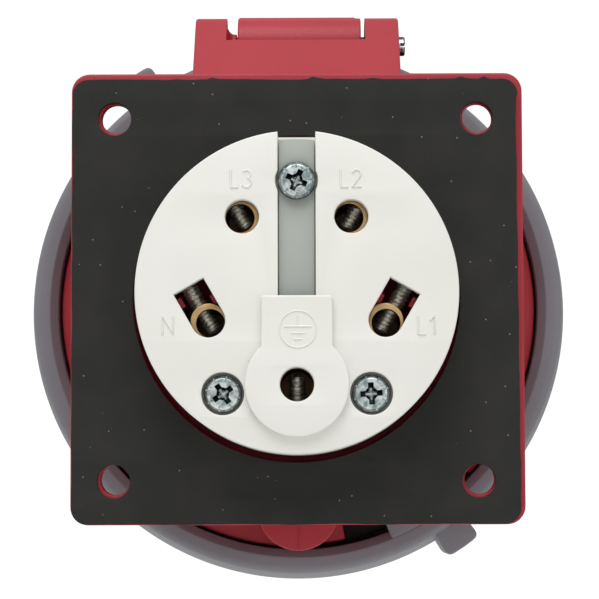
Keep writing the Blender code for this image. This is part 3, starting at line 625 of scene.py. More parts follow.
class Finishes:
    """Every finish of the socket, made once."""

    def __init__(self) -> None:
        """Makes the materials."""
        # Red polyamide 6 with glass: opaque, satin, a shade paler where the melt cooled first.
        red = MouldedPlastic("red_polyamide", "#a21c2b", "#ab2231", 0.5, 0.3, 0.15, 0.03)
        # White polyamide 6: warm white, a soft sheen, almost no grain.
        white = MouldedPlastic("white_polyamide", "#e6e6e0", "#e2e1da", 0.4, 0.25, 0.06, 0.02)
        # Grey polyamide of the ring: violet-grey, rubbed satin.
        grey = MouldedPlastic("grey_polyamide", "#75747a", "#7b7a81", 0.46, 0.3, 0.18, 0.03)
        # Light grey polyamide of the strip: plain, a little dusty.
        strip = MouldedPlastic("light_grey_polyamide", "#a9aea8", "#a2a7a2", 0.5, 0.3, 0.1, 0.05)
        # Black acetal of the snap ring: smooth and slightly waxy.
        acetal = MouldedPlastic("black_acetal", "#26262a", "#2b2b2f", 0.35, 0.4, 0.05)
        # EPDM foam sheet of the gasket: sooty and matt, with cells and crumbs from the die.
        foam = FoamRubber("gasket_foam_rubber", "#292927", "#302f2d", 0.35, 0.3)
        # Moulded EPDM of the seals: denser and smoother than the sheet.
        seal = MouldedPlastic("seal_rubber", "#1d1d1d", "#232322", 0.6, 0.4, 0.1)
        # Turned brass: warm, with fine tool marks, and painted shade on faces turned away from -Y, which
        # darkens the wire bores.
        brass = WorkedMetal("turned_brass", "#dcb98a", "#c09a68", 0.42, 3.0, "#2a1c10")
        # Steel with blue-passivated zinc: cool, with painted shade on faces turned away from -Y, which
        # darkens the recess and the rim.
        zinc = WorkedMetal("blue_passivated_zinc", "#edf5f3", "#93a5a6", 0.33, 0.9, "#27323a")
        # Steel of the clamp screws: olive-grey passivation, oily.
        screw = WorkedMetal("oiled_zinc_steel", "#f4f2e6", "#c4c1b2", 0.44, 0.8)
        # Hardened spring strip: blue-grey.
        spring = WorkedMetal("spring_strip_steel", "#9a9da3", "#7c8087", 0.35, 4.0)
        self.red = Finish(red.make(), "red_housing")
        self.white = Finish(white.make(), "white_plastic")
        self.grey = Finish(grey.make(), "grey_ring")
        self.strip = Finish(strip.make(), "light_grey_plastic")
        self.acetal = Finish(acetal.make(), "black_plastic")
        self.foam = Finish(foam.make(), "gasket_rubber")
        self.seal = Finish(seal.make(), "seal_rubber")
        self.brass = Finish(brass.make(), "contact_brass")
        self.zinc = Finish(zinc.make(), "zinc_steel")
        self.screw = Finish(screw.make(), "zinc_steel")
        self.spring = spring.make()


def finish_piece(
    shape: Shape,
    finish: Finish,
    nodes: Sequence[str],
    body: str = Body.HOUSING.value,
    sharp: float = 32.0,
) -> None:
    """Puts a finished shape in the frame, in metres, with its material.

    Args:
        shape: The shape in millimetres, at the origin.
        finish: What it is made of, and the record's slot.
        nodes: The CAD nodes that it stands for.
        body: The CAD body that it rides on.
        sharp: Edges that turn by more than this many degrees stay sharp.
    """
    shape.data.transform(Matrix.Scale(MM, 4))
    shape.data.polygons.foreach_set("material_index", [0] * len(shape.data.polygons))
    dress(shape, finish.material)
    shape.data.shade_smooth()
    shape.data.set_sharp_from_angle(angle=math.radians(sharp))
    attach(shape, body)
    if nodes:
        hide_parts(*nodes)
    LOG.info("%s: %d faces on %s", shape.name, len(shape.data.polygons), body)


def dress(shape: Shape, material: bpy.types.Material) -> None:
    """Gives a shape one material in place of its own."""
    shape.data.materials.clear()
    shape.data.materials.append(material)


# ---------------------------------------------------------------- geometry node trees


def geometry_tree(name: str, inputs: dict[str, float]) -> tuple[Tree, Any]:
    """Starts a geometry tree with named size inputs.

    Args:
        name: The tree's name.
        inputs: Each input's name and default.

    Returns:
        The tree and its inputs' outputs, by name.
    """
    tree = bpy.data.node_groups.new(name, "GeometryNodeTree")
    tree.interface.new_socket("Geometry", in_out="INPUT", socket_type="NodeSocketGeometry")
    for label, value in inputs.items():
        socket = tree.interface.new_socket(label, in_out="INPUT", socket_type="NodeSocketFloat")
        socket.default_value = value
    tree.interface.new_socket("Material", in_out="INPUT", socket_type="NodeSocketMaterial")
    tree.interface.new_socket("Geometry", in_out="OUTPUT", socket_type="NodeSocketGeometry")
    return tree, add_node(tree, "NodeGroupInput").outputs


def ended(tree: Tree, given: Any, made: Output) -> Tree:
    """Ends a geometry tree: makes instances real, and gives all of it the material."""
    real = add_node(tree, "GeometryNodeRealizeInstances", {0: made}).outputs[0]
    links = {"Geometry": real, "Material": given["Material"]}
    add_node(tree, "NodeGroupOutput", {0: add_node(tree, "GeometryNodeSetMaterial", links).outputs[0]})
    return tree


def add_place(tree: Tree) -> tuple[Output, Output, Output]:
    """The X, Y and Z of each point that a tree works on."""
    place = add_node(tree, "GeometryNodeInputPosition").outputs[0]
    return tuple(add_node(tree, "ShaderNodeSeparateXYZ", {0: place}).outputs)


def grown(name: str, tree: Tree, values: dict[str, Any]) -> Shape:
    """Runs a geometry tree on an empty mesh and keeps the result as a plain mesh.

    Args:
        name: The shape's name.
        tree: The geometry tree.
        values: Each named input's value.

    Returns:
        The shape, in the tree's own units.
    """
    host = bpy.data.objects.new(name, bpy.data.meshes.new(name))
    modifier = host.modifiers.new(tree.name, "NODES")
    modifier.node_group = tree
    for item in tree.interface.items_tree:
        if item.item_type == "SOCKET" and item.in_out == "INPUT" and item.name in values:
            modifier[item.identifier] = values[item.name]
    bpy.context.scene.collection.objects.link(host)
    bpy.context.view_layer.update()
    return settled(host)


def threaded_rod_tree() -> Tree:
    """A rod with a real helical thread: each side point is drawn in by how far it is from the crest."""
    tree, given = geometry_tree("threaded_rod", {"Radius": 1.45, "Length": 9.4, "Pitch": 0.7, "Depth": 0.28})
    sides = {"Vertices": 36, "Side Segments": 110, "Radius": given["Radius"], "Depth": given["Length"]}
    plain = add_node(tree, "GeometryNodeMeshCylinder", sides)
    x, y, z = add_place(tree)
    share = add_math(tree, "DIVIDE", add_math(tree, "ARCTAN2", y, x), TAU)
    phase = add_math(tree, "SUBTRACT", add_math(tree, "DIVIDE", z, given["Pitch"]), share)
    fold = add_math(tree, "PINGPONG", phase, 0.5)
    inward = add_range(tree, fold, 0.22, 0.45, interpolation_type="SMOOTHSTEP")
    half = add_math(tree, "MULTIPLY", given["Length"], 0.5)
    to_end = add_math(tree, "SUBTRACT", half, add_math(tree, "ABSOLUTE", z))
    chamfer = add_range(tree, to_end, 0.0, 0.5, 1.6, 0.0)
    depth = add_math(tree, "MULTIPLY", add_math(tree, "MAXIMUM", inward, chamfer), given["Depth"])
    drop = add_math(tree, "DIVIDE", depth, given["Radius"])
    outward = add_node(tree, "ShaderNodeCombineXYZ", {"X": x, "Y": y}).outputs[0]
    pull = {0: outward, "Scale": add_math(tree, "MULTIPLY", drop, -1.0)}
    move = add_node(tree, "ShaderNodeVectorMath", pull, operation="SCALE").outputs[0]
    links = {"Geometry": plain.outputs["Mesh"], "Offset": move}
    return ended(tree, given, add_node(tree, "GeometryNodeSetPosition", links).outputs[0])


def tick_ring_tree() -> Tree:
    """Thin bars set round a circle like the hours of a clock, each pointing at the centre."""
    sizes = {"Count": 8.0, "Circle": 2.3, "Long": 1.0, "Wide": 0.16, "Deep": 0.3}
    tree, given = geometry_tree("tick_ring", sizes)
    ring = add_node(tree, "GeometryNodeMeshCircle", {"Vertices": given["Count"], "Radius": given["Circle"]})
    sides = {"X": given["Long"], "Y": given["Wide"], "Z": given["Deep"]}
    size = add_node(tree, "ShaderNodeCombineXYZ", sides).outputs[0]
    bar = add_node(tree, "GeometryNodeMeshCube", {"Size": size}).outputs["Mesh"]
    x, y, _ = add_place(tree)
    angle = add_node(tree, "ShaderNodeCombineXYZ", {"Z": add_math(tree, "ARCTAN2", y, x)}).outputs[0]
    links = {"Points": ring.outputs["Mesh"], "Instance": bar, "Rotation": angle}
    return ended(tree, given, add_node(tree, "GeometryNodeInstanceOnPoints", links).outputs[0])


# ---------------------------------------------------------------- terminals


@dataclass(frozen=True)
class Terminal:
    """One contact's name, its place and how its clamp screw leans.

    Attributes:
        name: The terminal's letter, as in the CAD nodes.
        centre: X and Z of the contact's axis.
        lean: Degrees from upright to the clamp screw's outer end, towards +X.
    """

    name: str
    centre: Point
    lean: float

    @property
    def outward(self) -> Vector:
        """The clamp screw's direction, from the contact outwards."""
        turn = math.radians(self.lean)
        return Vector((math.sin(turn), 0, math.cos(turn)))

    def along_screw(self, y: float) -> Matrix:
        """Places a shape made along its own Z onto the clamp screw's axis."""
        turn = Matrix.Rotation(math.radians(self.lean), 4, "Y")
        return Matrix.Translation((self.centre[0], y, self.centre[1])) @ turn


def terminals() -> list[Terminal]:
    """The five terminals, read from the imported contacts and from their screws' joints."""
    found = []
    for joint in frame["joints"]:
        child = joint["child"]
        if not child.startswith("clamp_"):
            continue
        name = child.removeprefix("clamp_")
        middle = span(f"contact_{name}").middle
        x, _, z = joint["axis"]
        found.append(Terminal(name, (middle.x, middle.z), math.degrees(math.atan2(x, z))))
    return found


@dataclass
class TerminalDrum:
    """The white drum with its strip, screws, earth cover and moulded marks.

    Attributes:
        finishes: The materials.
        wall: Thickness of the drum's side.
        plate: Thickness of its rear face.
        slot_half: Half the width of the strip's slot.
        screw_bulge: Radius of the slot's bulge and of the screw wells.
        screw_hole: Radius of the screws' clearance holes.
        earth_play: How much wider the drum's hole is under the earth cover.
        entry: Radius of the wire entries.
        slot_length: How far the side entries run on along their clamp screws.
        letter_height: Height of the terminal letters.
        way_start: Distance from a contact's axis to where the driver's way to its screw starts.
        line: Width of the moulded lines.
        box: The drum's box in the frame.
        screws: X and Z of each of the drum's screws.
    """

    finishes: Finishes
    wall: float = 2.25
    plate: float = 2.2
    slot_half: float = 3.05
    screw_bulge: float = 3.45
    screw_hole: float = 1.8
    earth_play: float = 1.1
    entry: float = 2.75
    slot_length: float = 6.4
    letter_height: float = 2.8
    way_start: float = 6.5
    line: float = 0.4
    box: Span = field(default_factory=lambda: span("contact_carrier"))
    screws: dict[str, Point] = field(default_factory=dict)

    def __post_init__(self) -> None:
        """Reads the screws' places from the frame."""
        for side in ("top", "left", "right"):
            middle = span(f"carrier_screw_{side}").middle
            self.screws[side] = (middle.x, middle.z)
        self.radius = self.box.size.x / 2
        self.rear, self.front = self.box.low.y, self.box.high.y
        self.inside = self.rear + self.plate
        strip = span("lock_strip")
        self.strip_rear, self.strip_front = strip.low.y, strip.high.y
        self.strip_low, self.strip_top = strip.low.z, strip.high.z

    def build(self, ends: list[Terminal]) -> None:
        """Builds every piece of the drum."""
        self.build_drum(ends)
        self.build_letters(ends)
        self.build_strip()
        self.build_cover(next(t for t in ends if t.name == "pe"))
        marks = tick_ring_tree()
        for number, side in enumerate(("top", "left", "right")):
            self.build_screw(side, 24 + 31 * number, marks)

    def face_outline(self) -> Outline:
        """The drum's rear face: a circle, open at the top for the strip, wider round its screw."""
        half, bulge = self.slot_half, self.screw_bulge
        x, z = self.screws["top"]
        rim = math.degrees(math.asin(half / self.radius))
        lean = math.degrees(math.asin(half / bulge))
        low = self.strip_low - 0.3
        outline = arc((0, 0), self.radius, 90 - rim, rim - 270, 180)
        outline += arc((x, z), bulge, 90 + lean, 270 - lean, 10)
        outline += [(-half, low), (half, low)]
        return outline + arc((x, z), bulge, lean - 90, 90 - lean, 10)

    def entry_outline(self, end: Terminal) -> Outline:
        """A wire entry: round, and at the sides open along the clamp screw with a flat end."""
        if end.name in ("l2", "l3"):
            return circle(end.centre, self.entry, 48)
        if end.name == "pe":
            return circle(end.centre, self.entry + self.earth_play, 48)
        out = Vector((end.outward.x, end.outward.z))
        side = Vector((out.y, -out.x)) * self.entry
        heading = math.degrees(math.atan2(out.y, out.x))
        corner = Vector(end.centre) + out * self.slot_length
        tail = rounded([tuple(corner + side), tuple(corner - side)], 0.4, closed=False)
        return arc(end.centre, self.entry, heading + 90, heading + 270, 24) + tail

    def build_drum(self, ends: list[Terminal]) -> None:
        """The drum: rear face, side wall, screw bosses and the floor under the strip."""
        loops = [self.face_outline()] + [self.entry_outline(end) for end in ends]
        loops += [circle(self.screws[side], self.screw_bulge, 48) for side in ("left", "right")]
        drum = extruded("terminal_drum", loops, self.rear, self.front, 0.22)
        hollow = rod("hollow", self.radius - self.wall, self.inside, self.front + 2, steps=150)
        drum = combined(drum, [hollow], Boolean.CUT)
        floor = self.strip_front + 0.3
        half, thick = self.slot_half, 1.4
        top = self.radius - self.wall
        wide, below, under = half + thick, self.strip_low - 2, self.inside - 0.7
        parts = [
            block("strip_floor", (-wide, floor, below), (wide, floor + thick, top + 1)),
            block("end_wall", (-half - 1, floor + 0.7, top - 0.5), (half + 1, self.front - 0.2, top + 1.6)),
        ]
        for side in (-1, 1):
            low, high = sorted((side * (half + 0.3), side * wide))
            parts.append(block("channel_side", (low, under, below + 0.4), (high, floor + 0.6, top + 0.7)))
        wide, bore, end_y = self.screw_bulge + 1.1, self.screw_hole, self.front - 0.1
        for side, place in self.screws.items():
            well, seat = (floor + 0.8,) * 2 if side == "top" else (self.inside - 0.5, self.rear + 2.9)
            profile = [(wide, well), (wide, end_y), (bore, end_y), (bore, seat)]
            if side != "top":
                profile += [(self.screw_bulge + 0.04, seat), (self.screw_bulge + 0.04, well)]
            parts.append(turned("boss", profile, place, closed=True, steps=44))
        drum = combined(drum, parts, Boolean.JOIN)
        ways = []
        for end in ends:
            way = rod("driver_way", 2.0, self.way_start, self.radius * 1.3, steps=40)
            ways.append(placed(way, end.along_screw(self.clamp_y()) @ UPWARDS))
        drum = combined(drum, ways, Boolean.CUT)
        finish_piece(drum, self.finishes.white, ["contact_carrier"], sharp=38)

    @staticmethod
    def clamp_y() -> float:
        """Where the clamp screws' axes lie along Y."""
        return span("clamp_screw_pe").middle.y

    def build_letters(self, ends: list[Terminal]) -> None:
        """Raised terminal letters, each stroke a rounded ridge."""
        tall = self.letter_height
        glyphs: dict[str, list[Outline]] = {
            "L": [[(0, tall), (0, 0), (0.44 * tall, 0)]],
            "N": [[(0, 0), (0, tall), (0.62 * tall, 0), (0.62 * tall, tall)]],
            "1": [[(0, 0.76 * tall), (0.26 * tall, tall), (0.26 * tall, 0)]],
            "2": [arc((0.25 * tall, 0.76 * tall), 0.24 * tall, 165, -40, 10) + [(0, 0), (0.52 * tall, 0)]],
            "3": [
                arc((0.23 * tall, 0.76 * tall), 0.23 * tall, 150, -80, 9),
                arc((0.23 * tall, 0.27 * tall), 0.27 * tall, 80, -150, 10),
            ],
        }
        pitch = 0.68 * tall
        labels = {"L3": (-8.95, 18.3), "L2": (8.75, 18.3), "N": (-20.9, -5.4), "L1": (21.1, -5.5)}
        paths: list[Outline] = []
        for text, (x, z) in labels.items():
            width = pitch * (len(text) - 1) + 0.5 * tall
            for place, letter in enumerate(text):
                left = x - width / 2 + place * pitch
                for stroke in glyphs[letter]:
                    paths.append([(left + across, z - tall / 2 + up) for across, up in stroke])
        letters = ridges("terminal_letters", paths, self.line, 0.24, self.rear)
        finish_piece(letters, self.finishes.white, [], sharp=50)

    def build_strip(self) -> None:
        """The grey strip in the slot, its top end following the drum."""
        half = self.slot_half - 0.15
        lean = math.degrees(math.asin(half / self.strip_top))
        outline = arc((0, 0), self.strip_top, 90 - lean, 90 + lean, 12)
        outline += [(-half, self.strip_low), (half, self.strip_low)]
        hole = circle(self.screws["top"], self.screw_hole, 32)
        strip = extruded("lock_strip_bar", [outline, hole], self.strip_rear, self.strip_front, 0.12)
        finish_piece(strip, self.finishes.strip, ["lock_strip"])

    def build_cover(self, earth: Terminal) -> None:
        """The raised cover over the earth terminal, with the earth mark."""
        box = span("earth_cover")
        radius = box.size.x / 2
        half, top = 5.7, box.high.z
        face, seat = box.low.y, self.rear - 0.05
        x, z = earth.centre
        lean = math.degrees(math.asin(half / radius))
        plate_rim = arc((x, z), radius, 90 + lean, 450 - lean, 72)
        shoulder = rounded([plate_rim[-1], (half, top), (-half, top), plate_rim[0]], 0.45, closed=False)
        outline = plate_rim[1:-1] + shoulder
        cover = extruded("earth_terminal_cover", [outline, circle((x, z), self.entry, 48)], face, seat, 0.28)
        bore, skin, start, end_y = self.entry, self.entry + 0.8, seat - 0.3, box.high.y
        tube = [(bore, start), (skin, start), (skin, end_y), (bore, end_y)]
        cover = combined(cover, [turned("spigot", tube, (x, z), closed=True, steps=48)], Boolean.JOIN)
        finish_piece(cover, self.finishes.white, ["earth_cover"])
        mark = (0.15, -6.15)
        bars = [(0.42, 2.2), (-0.62, 1.15), (-1.6, 0.66)]
        paths = [circle(mark, 2.95, 48) + [circle(mark, 2.95, 48)[0]]]
        paths.append([(mark[0], mark[1] + 2.2), (mark[0], mark[1] + 0.42)])
        for up, reach in bars:
            paths.append([(mark[0] - reach, mark[1] + up), (mark[0] + reach, mark[1] + up)])
        sign = ridges("earth_mark", paths, self.line * 0.8, 0.17, face)
        finish_piece(sign, self.finishes.white, [], sharp=50)

    def build_screw(self, side: str, turn: float, marks: Tree) -> None:
        """A pan-head screw with a cross recess and radial marks.

        Args:
            side: Which screw, as in the CAD nodes.
            turn: How far its recess is turned, in degrees.
            marks: The tree of the radial marks.
        """
        box = span(f"carrier_screw_{side}")
        place = (box.middle.x, box.middle.z)
        radius, head, tip = box.size.x / 2, box.low.y, box.high.y
        seat = head + 1.7
        crown = [(0, head), (radius * 0.82, head + 0.1), (radius, head + 0.62), (radius, seat), (1.5, seat)]
        profile = rounded(crown, 0.3, closed=False) + [(1.5, tip - 1), (0.9, tip), (0, tip)]
        screw = turned(f"drum_screw_{side}", profile, place, steps=72)
        tools = []
        for quarter in (0, 90):
            tools.append(self.recess_arm(place, head, turn + quarter, 2.05, 0.55, 1.6))
            tools.append(self.recess_arm(place, head, turn + quarter + 45, 1.25, 0.45, 0.9))
        screw = combined(screw, tools, Boolean.CUT)
        sizes = {"Count": 8, "Circle": 2.45, "Long": 1.0, "Wide": 0.22, "Deep": 0.9}
        ticks = grown("ticks", marks, sizes)
        upright = UPWARDS @ Matrix.Rotation(math.radians(turn + 22.5), 4, "Z")
        placed(ticks, Matrix.Translation((place[0], head, place[1])) @ upright)
        screw = combined(screw, [ticks], Boolean.CUT)
        finish_piece(screw, self.finishes.zinc, [f"carrier_screw_{side}"], sharp=28)

    @staticmethod
    def recess_arm(place: Point, head: float, turn: float, reach: float, half: float, depth: float) -> Shape:
        """One tapering wedge of a cross recess.

        Args:
            place: X and Z of the screw.
            head: Y of the head's face.
            turn: The wedge's direction in degrees.
            reach: Half its length at the face.
            half: Half its width at the face.
            depth: Its depth.

        Returns:
            The wedge, to be cut from the head.
        """
        wedge = block("wedge", (-reach, -0.4, -half), (reach, depth, half))
        for vertex in wedge.data.vertices:
            if vertex.co.y > 0:
                vertex.co.x *= 0.45
                vertex.co.z *= 0.3
        spin = Matrix.Rotation(math.radians(turn), 4, "Y")
        return placed(wedge, Matrix.Translation((place[0], head, place[1])) @ spin)


@dataclass
class Contacts:
    """The brass contacts, their springs and their clamp screws.

    Attributes:
        finishes: The materials.
        wire_bore: Radius of the wire's bore.
        earth_bore: Radius of the earth wire's bore.
        wire_depth: Depth of these bores.
        tapped: Radius of the clamp screw's hole.
        sleeve: Outer radius of the sleeve that holds the wire.
        slit: Width of the slits between the fingers.
        fingers: Length of the slits.
        shoulder_front: Y of the shoulder's front.
        shoulder: Thickness of the shoulder.
        tube_wall: Wall of the tube.
        tube_step: How much smaller the tube's radius is than the shoulder's.
        pin_depth: Depth of the bore for the plug's pin.
        screw_length: Length of a clamp screw.
        bore_shift: How far each wire bore was drilled off centre, in X and Z.
    """

    finishes: Finishes
    wire_bore: float = 2.35
    earth_bore: float = 2.72
    wire_depth: float = 12.0
    sleeve: float = 2.95
    tapped: float = 1.5
    slit: float = 0.6
    fingers: float = 12.0
    shoulder_front: float = 12.7
    shoulder: float = 1.6
    tube_wall: float = 0.8
    tube_step: float = 1.0
    pin_depth: float = 16.5
    screw_length: float = 9.4
    bore_shift: dict[str, Point] = field(
        default_factory=lambda: {
            "l3": (-0.34, 0.0), "l2": (-0.34, 0.0), "n": (0.3, -0.32), "l1": (0.12, -0.36)
        }
    )

    def build(self, ends: list[Terminal]) -> None:
        """Builds the contact and clamp screw of each terminal, and dresses its spring in spring steel."""
        thread = threaded_rod_tree()
        for end in ends:
            self.build_contact(end)
            self.build_clamp_screw(end, thread)
            dress(frame["nodes"][f"contact_spring_{end.name}"], self.finishes.spring)

    def build_contact(self, end: Terminal) -> None:
        """A turned contact: wire sleeve, shoulder, and a slit tube for the plug's pin."""
        box = span(f"contact_{end.name}")
        rear, tip = box.low.y, box.high.y
        shoulder = box.size.x / 2
        tube = shoulder - self.tube_step
        bore = tube - self.tube_wall
        off_across, off_up = self.bore_shift.get(end.name, (0.0, 0.0))
        wire_bore = self.earth_bore if end.name == "pe" else self.wire_bore
        front, back = self.shoulder_front, self.shoulder_front - self.shoulder
        profile = [(0, rear), (self.sleeve, rear), (self.sleeve, back), (shoulder, back), (shoulder, front)]
        profile += [(tube, front), (tube, tip), (bore, tip), (bore, tip - self.pin_depth)]
        profile = rounded([*profile, (0, tip - self.pin_depth - 0.5)], 0.16, closed=False, steps=2)
        contact = turned(f"brass_contact_{end.name}", profile, end.centre, steps=72)
        hole = rod("tapped_hole", self.tapped, 0, self.sleeve * 2, steps=36)
        placed(hole, end.along_screw(TerminalDrum.clamp_y()) @ UPWARDS)
        x, z = end.centre
        half, wide = self.slit / 2, tube + 1
        low, high = tip - self.fingers, tip + 1
        level = block("slit_level", (x - wide, low, z - half), (x + wide, high, z + half))
        upright = block("slit_upright", (x - half, low, z - wide), (x + half, high, z + wide))
        mouth = [(0, rear - 1), (wire_bore, rear - 1), (wire_bore, rear + self.wire_depth)]
        mouth += [(0, rear + self.wire_depth + 0.8)]
        drilled = turned("wire_bore", mouth, (x + off_across, z + off_up), steps=60)
        contact = combined(contact, [drilled, hole, level, upright], Boolean.CUT)
        finish_piece(contact, self.finishes.brass, [f"contact_{end.name}"])

    def build_clamp_screw(self, end: Terminal, thread: Tree) -> None:
        """A headless screw with a real thread and a driver slot."""
        node = f"clamp_screw_{end.name}"
        box = span(node)
        radius = box.size.y / 2
        length = self.screw_length
        sizes = {"Radius": radius, "Length": length, "Pitch": 0.7, "Depth": 0.24}
        sizes["Material"] = self.finishes.screw.material
        screw = grown(f"clamp_grub_screw_{end.name}", thread, sizes)
        slot = block("driver_slot", (-0.3, -radius * 2, length / 2 - 0.9), (0.3, radius * 2, length))
        screw = combined(screw, [slot], Boolean.CUT)
        offset = (box.middle - Vector((end.centre[0], box.middle.y, end.centre[1]))).dot(end.outward)
        placed(screw, end.along_screw(box.middle.y) @ Matrix.Translation((0, 0, offset)))
        finish_piece(screw, self.finishes.screw, [node], f"clamp_{end.name}", sharp=40)


# ---------------------------------------------------------------- housing


@dataclass
class Housing:
    """The red housing, its gasket, the front insert and the hinge pin.

    Attributes:
        finishes: The materials.
        corner: Radius of the flange's corners.
        half: Half the flange's side.
        fixing: Half the spacing of the fixing holes.
        fixing_hole: Radius of the holes in the flange.
        gasket_hole: Radius of the holes in the gasket.
        gasket_shift: How far the gasket sits off centre, in X and Z.
        cavity: Radius of the hollow behind the bulkhead.
        mouth: Radius of the plug's mouth.
        collar: Outer radius of the front collar.
        barrel: Outer radius behind the collar.
        ramp_height: How far the bayonet ramps stand out.
        knuckle: Outer radius of the hinge ears.
        clearance: Gap between the ears and the lid's barrel.
        rib_rear: Y of the guide ribs' ends.
        ear_left: X of the left ear's inner face.
        ear_right: X of the right ear's inner face.
        hinge_half: Half the hinge block's width.
        pin_bore: Radius of the pin's bore.
        box: The housing's box in the frame.
    """

    finishes: Finishes
    corner: float = 3.0
    half: float = 37.5
    fixing: float = 30.0
    fixing_hole: float = 2.5
    gasket_hole: float = 2.75
    gasket_shift: Point = (-0.22, -0.35)
    cavity: float = 27.2
    mouth: float = 29.0
    collar: float = 36.0
    barrel: float = 31.5
    ramp_height: float = 5.5
    knuckle: float = 4.9
    clearance: float = 0.9
    rib_rear: float = -7.6
    ear_left: float = -12.1
    ear_right: float = 11.7
    hinge_half: float = 17.5
    pin_bore: float = 1.85
    box: Span = field(default_factory=lambda: span("housing"))

    def __post_init__(self) -> None:
        """Reads the hinge's axis and the flange's place from the frame."""
        hinge = next(j for j in frame["joints"] if j["name"] == "lid_hinge")
        self.hinge_y, self.hinge_z = hinge["pos_m"][1] / MM, hinge["pos_m"][2] / MM
        self.hinge = Matrix.Translation((0, self.hinge_y, self.hinge_z)) @ SIDEWAYS
        self.rear, self.front = self.box.low.y, self.box.high.y
        self.flange_front = self.rear + 3.2

    def build(self) -> None:
        """Builds every piece that stays with the housing."""
        self.build_housing()
        self.build_gasket()
        self.build_insert()
        self.build_pin()
        dress(frame["nodes"]["insert_seal"], self.finishes.seal.material)

    def square(self) -> Outline:
        """The flange's outline: a square with round corners."""
        inner = self.half - self.corner
        centres = [(inner, inner), (-inner, inner), (-inner, -inner), (inner, -inner)]
        outline: Outline = []
        for quarter, centre in enumerate(centres):
            outline += arc(centre, self.corner, quarter * 90, quarter * 90 + 90, 8)
        return outline

    def holes(self, radius: float) -> list[Outline]:
        """The four fixing holes."""
        reach = self.fixing
        return [circle((x, z), radius, 40) for x in (-reach, reach) for z in (-reach, reach)]

    def build_housing(self) -> None:
        """Flange, stepped barrel, bulkhead, ramps, keyway bulge and hinge ears in one moulding."""
        ring_rear = span("bayonet_ring").low.y
        bulkhead_rear, bulkhead = 9.0, 13.0
        step = self.rear + 0.6
        inner = [(0, bulkhead), (self.mouth, bulkhead), (self.mouth, self.front)]
        outer = [(self.collar, self.front), (self.collar, ring_rear - 1), (self.barrel, 14.0)]
        outer += [(self.barrel, step), (self.cavity, step), (self.cavity, bulkhead_rear), (0, bulkhead_rear)]
        housing = turned("red_housing", rounded(inner + outer, 0.5, closed=False), steps=180)
        loops = [self.square(), circle((0, 0), self.cavity + 1, 90)]
        flange = extruded("flange", loops + self.holes(self.fixing_hole), self.rear, self.flange_front, 0.35)
        housing = combined(housing, [flange, *self.ramps()], Boolean.JOIN)
        housing = combined(housing, [self.hinge_block(), self.keyway_bulge()], Boolean.JOIN)
        groove = block("keyway", (-4.4, 21.5, -35.5), (4.4, self.front + 2, -self.mouth + 2))
        tools = [groove]
        for end in terminals():
            shoulder = span(f"contact_{end.name}").size.x / 2
            tools.append(rod("sleeve_hole", 3.25, 5, 12.7, end.centre, 40))
            tools.append(rod("shoulder_seat", shoulder + 0.3, 10.8, 15, end.centre, 40))
        housing = combined(housing, tools, Boolean.CUT)
        housing = combined(housing, self.guide_ribs(bulkhead_rear), Boolean.JOIN)
        finish_piece(housing, self.finishes.red, ["housing"], sharp=36)

    def guide_ribs(self, foot: float) -> list[Shape]:
        """Ribs inside the drum that keep stray wires away from the side terminals' screws."""
        made = []
        for end in terminals():
            if end.name not in ("n", "l1"):
                continue
            inwards = -1 if end.name == "n" else 1
            for along, aside in ((2.9, -2.55 * inwards), (5.0, 2.35 * inwards)):
                low = (aside - 0.35, self.rib_rear, along - 0.95)
                high = (aside + 0.35, foot + 0.6, along + 0.75)
                made.append(placed(block("rib", low, high), end.along_screw(0)))
        return made

    def ramps(self) -> list[Shape]:
        """The two bayonet ramps, sloped where a lug runs on."""
        low, high = 28.8, 32.8
        outer = self.collar + self.ramp_height
        made = []
        for turn in (0, 180):
            outline = rounded(sector(self.collar - 1, outer, 46 + turn, 178 + turn), 0.8)
            ramp = extruded("ramp", [outline], low, high, 0.3)
            lead = sector(self.collar - 2, outer + 1, 36 + turn, 56 + turn)
            wedge = extruded("lead", [lead], low - 1, low + 1.2, 0.02)
            made.append(combined(ramp, [wedge], Boolean.CUT))
        stop = rounded(sector(self.collar - 1, outer - 0.4, -6, 11.5), 1.2)
        made.append(extruded("stop", [stop], low + 0.1, high - 0.1, 0.3))
        return made

    def hinge_block(self) -> Shape:
        """The block on top: a slope from the flange up to two ears that hold the pin."""
        foot = (self.flange_front - 0.5, self.half)
        across, up = self.hinge_y - foot[0], self.hinge_z - foot[1]
        slope = math.atan2(up, across) + math.asin(self.knuckle / math.hypot(across, up))
        start = math.degrees(slope) + 90
        rim = arc((self.hinge_y, self.hinge_z), self.knuckle, start, -36.9, 28)
        root = self.mouth * 0.8
        inside = self.rear + 1
        outline = [(inside, root), (inside, foot[1] - 1), foot, *rim, (self.hinge_y + 3.92, root)]
        half, axis_y, axis_z = self.hinge_half, self.hinge_y, self.hinge_z
        block_shape = extruded("ears", [outline], -half, half, 0.4, Axis.X)
        pocket_radius = self.knuckle + self.clearance
        low, high = self.ear_left, self.ear_right
        pocket = placed(rod("pocket", pocket_radius, low, high, steps=72), self.hinge)
        bore = placed(rod("pin_bore", self.pin_bore, -half + 0.3, half + 2, steps=40), self.hinge)
        above = block("above", (low, axis_y - 20, axis_z), (high, axis_y + 20, axis_z + 20))
        ahead = block("ahead", (low, axis_y, axis_z - pocket_radius), (high, axis_y + 20, axis_z + 20))
        core = rod("core", self.mouth + 1, -20, 60, steps=90)
        block_shape = combined(block_shape, [core, pocket, above, ahead], Boolean.CUT)
        flare = [(0, low - 0.6), (3.4, low - 0.6), (3.4, low), (2.5, low + 0.5), (2.2, low + 1.0)]
        flare += [(2.2, low + 1.7), (0, low + 1.7)]
        boss = placed(turned("pin_boss", rounded(flare, 0.5, closed=False), steps=56), self.hinge)
        block_shape = combined(block_shape, [boss], Boolean.JOIN)
        return combined(block_shape, [bore], Boolean.CUT)

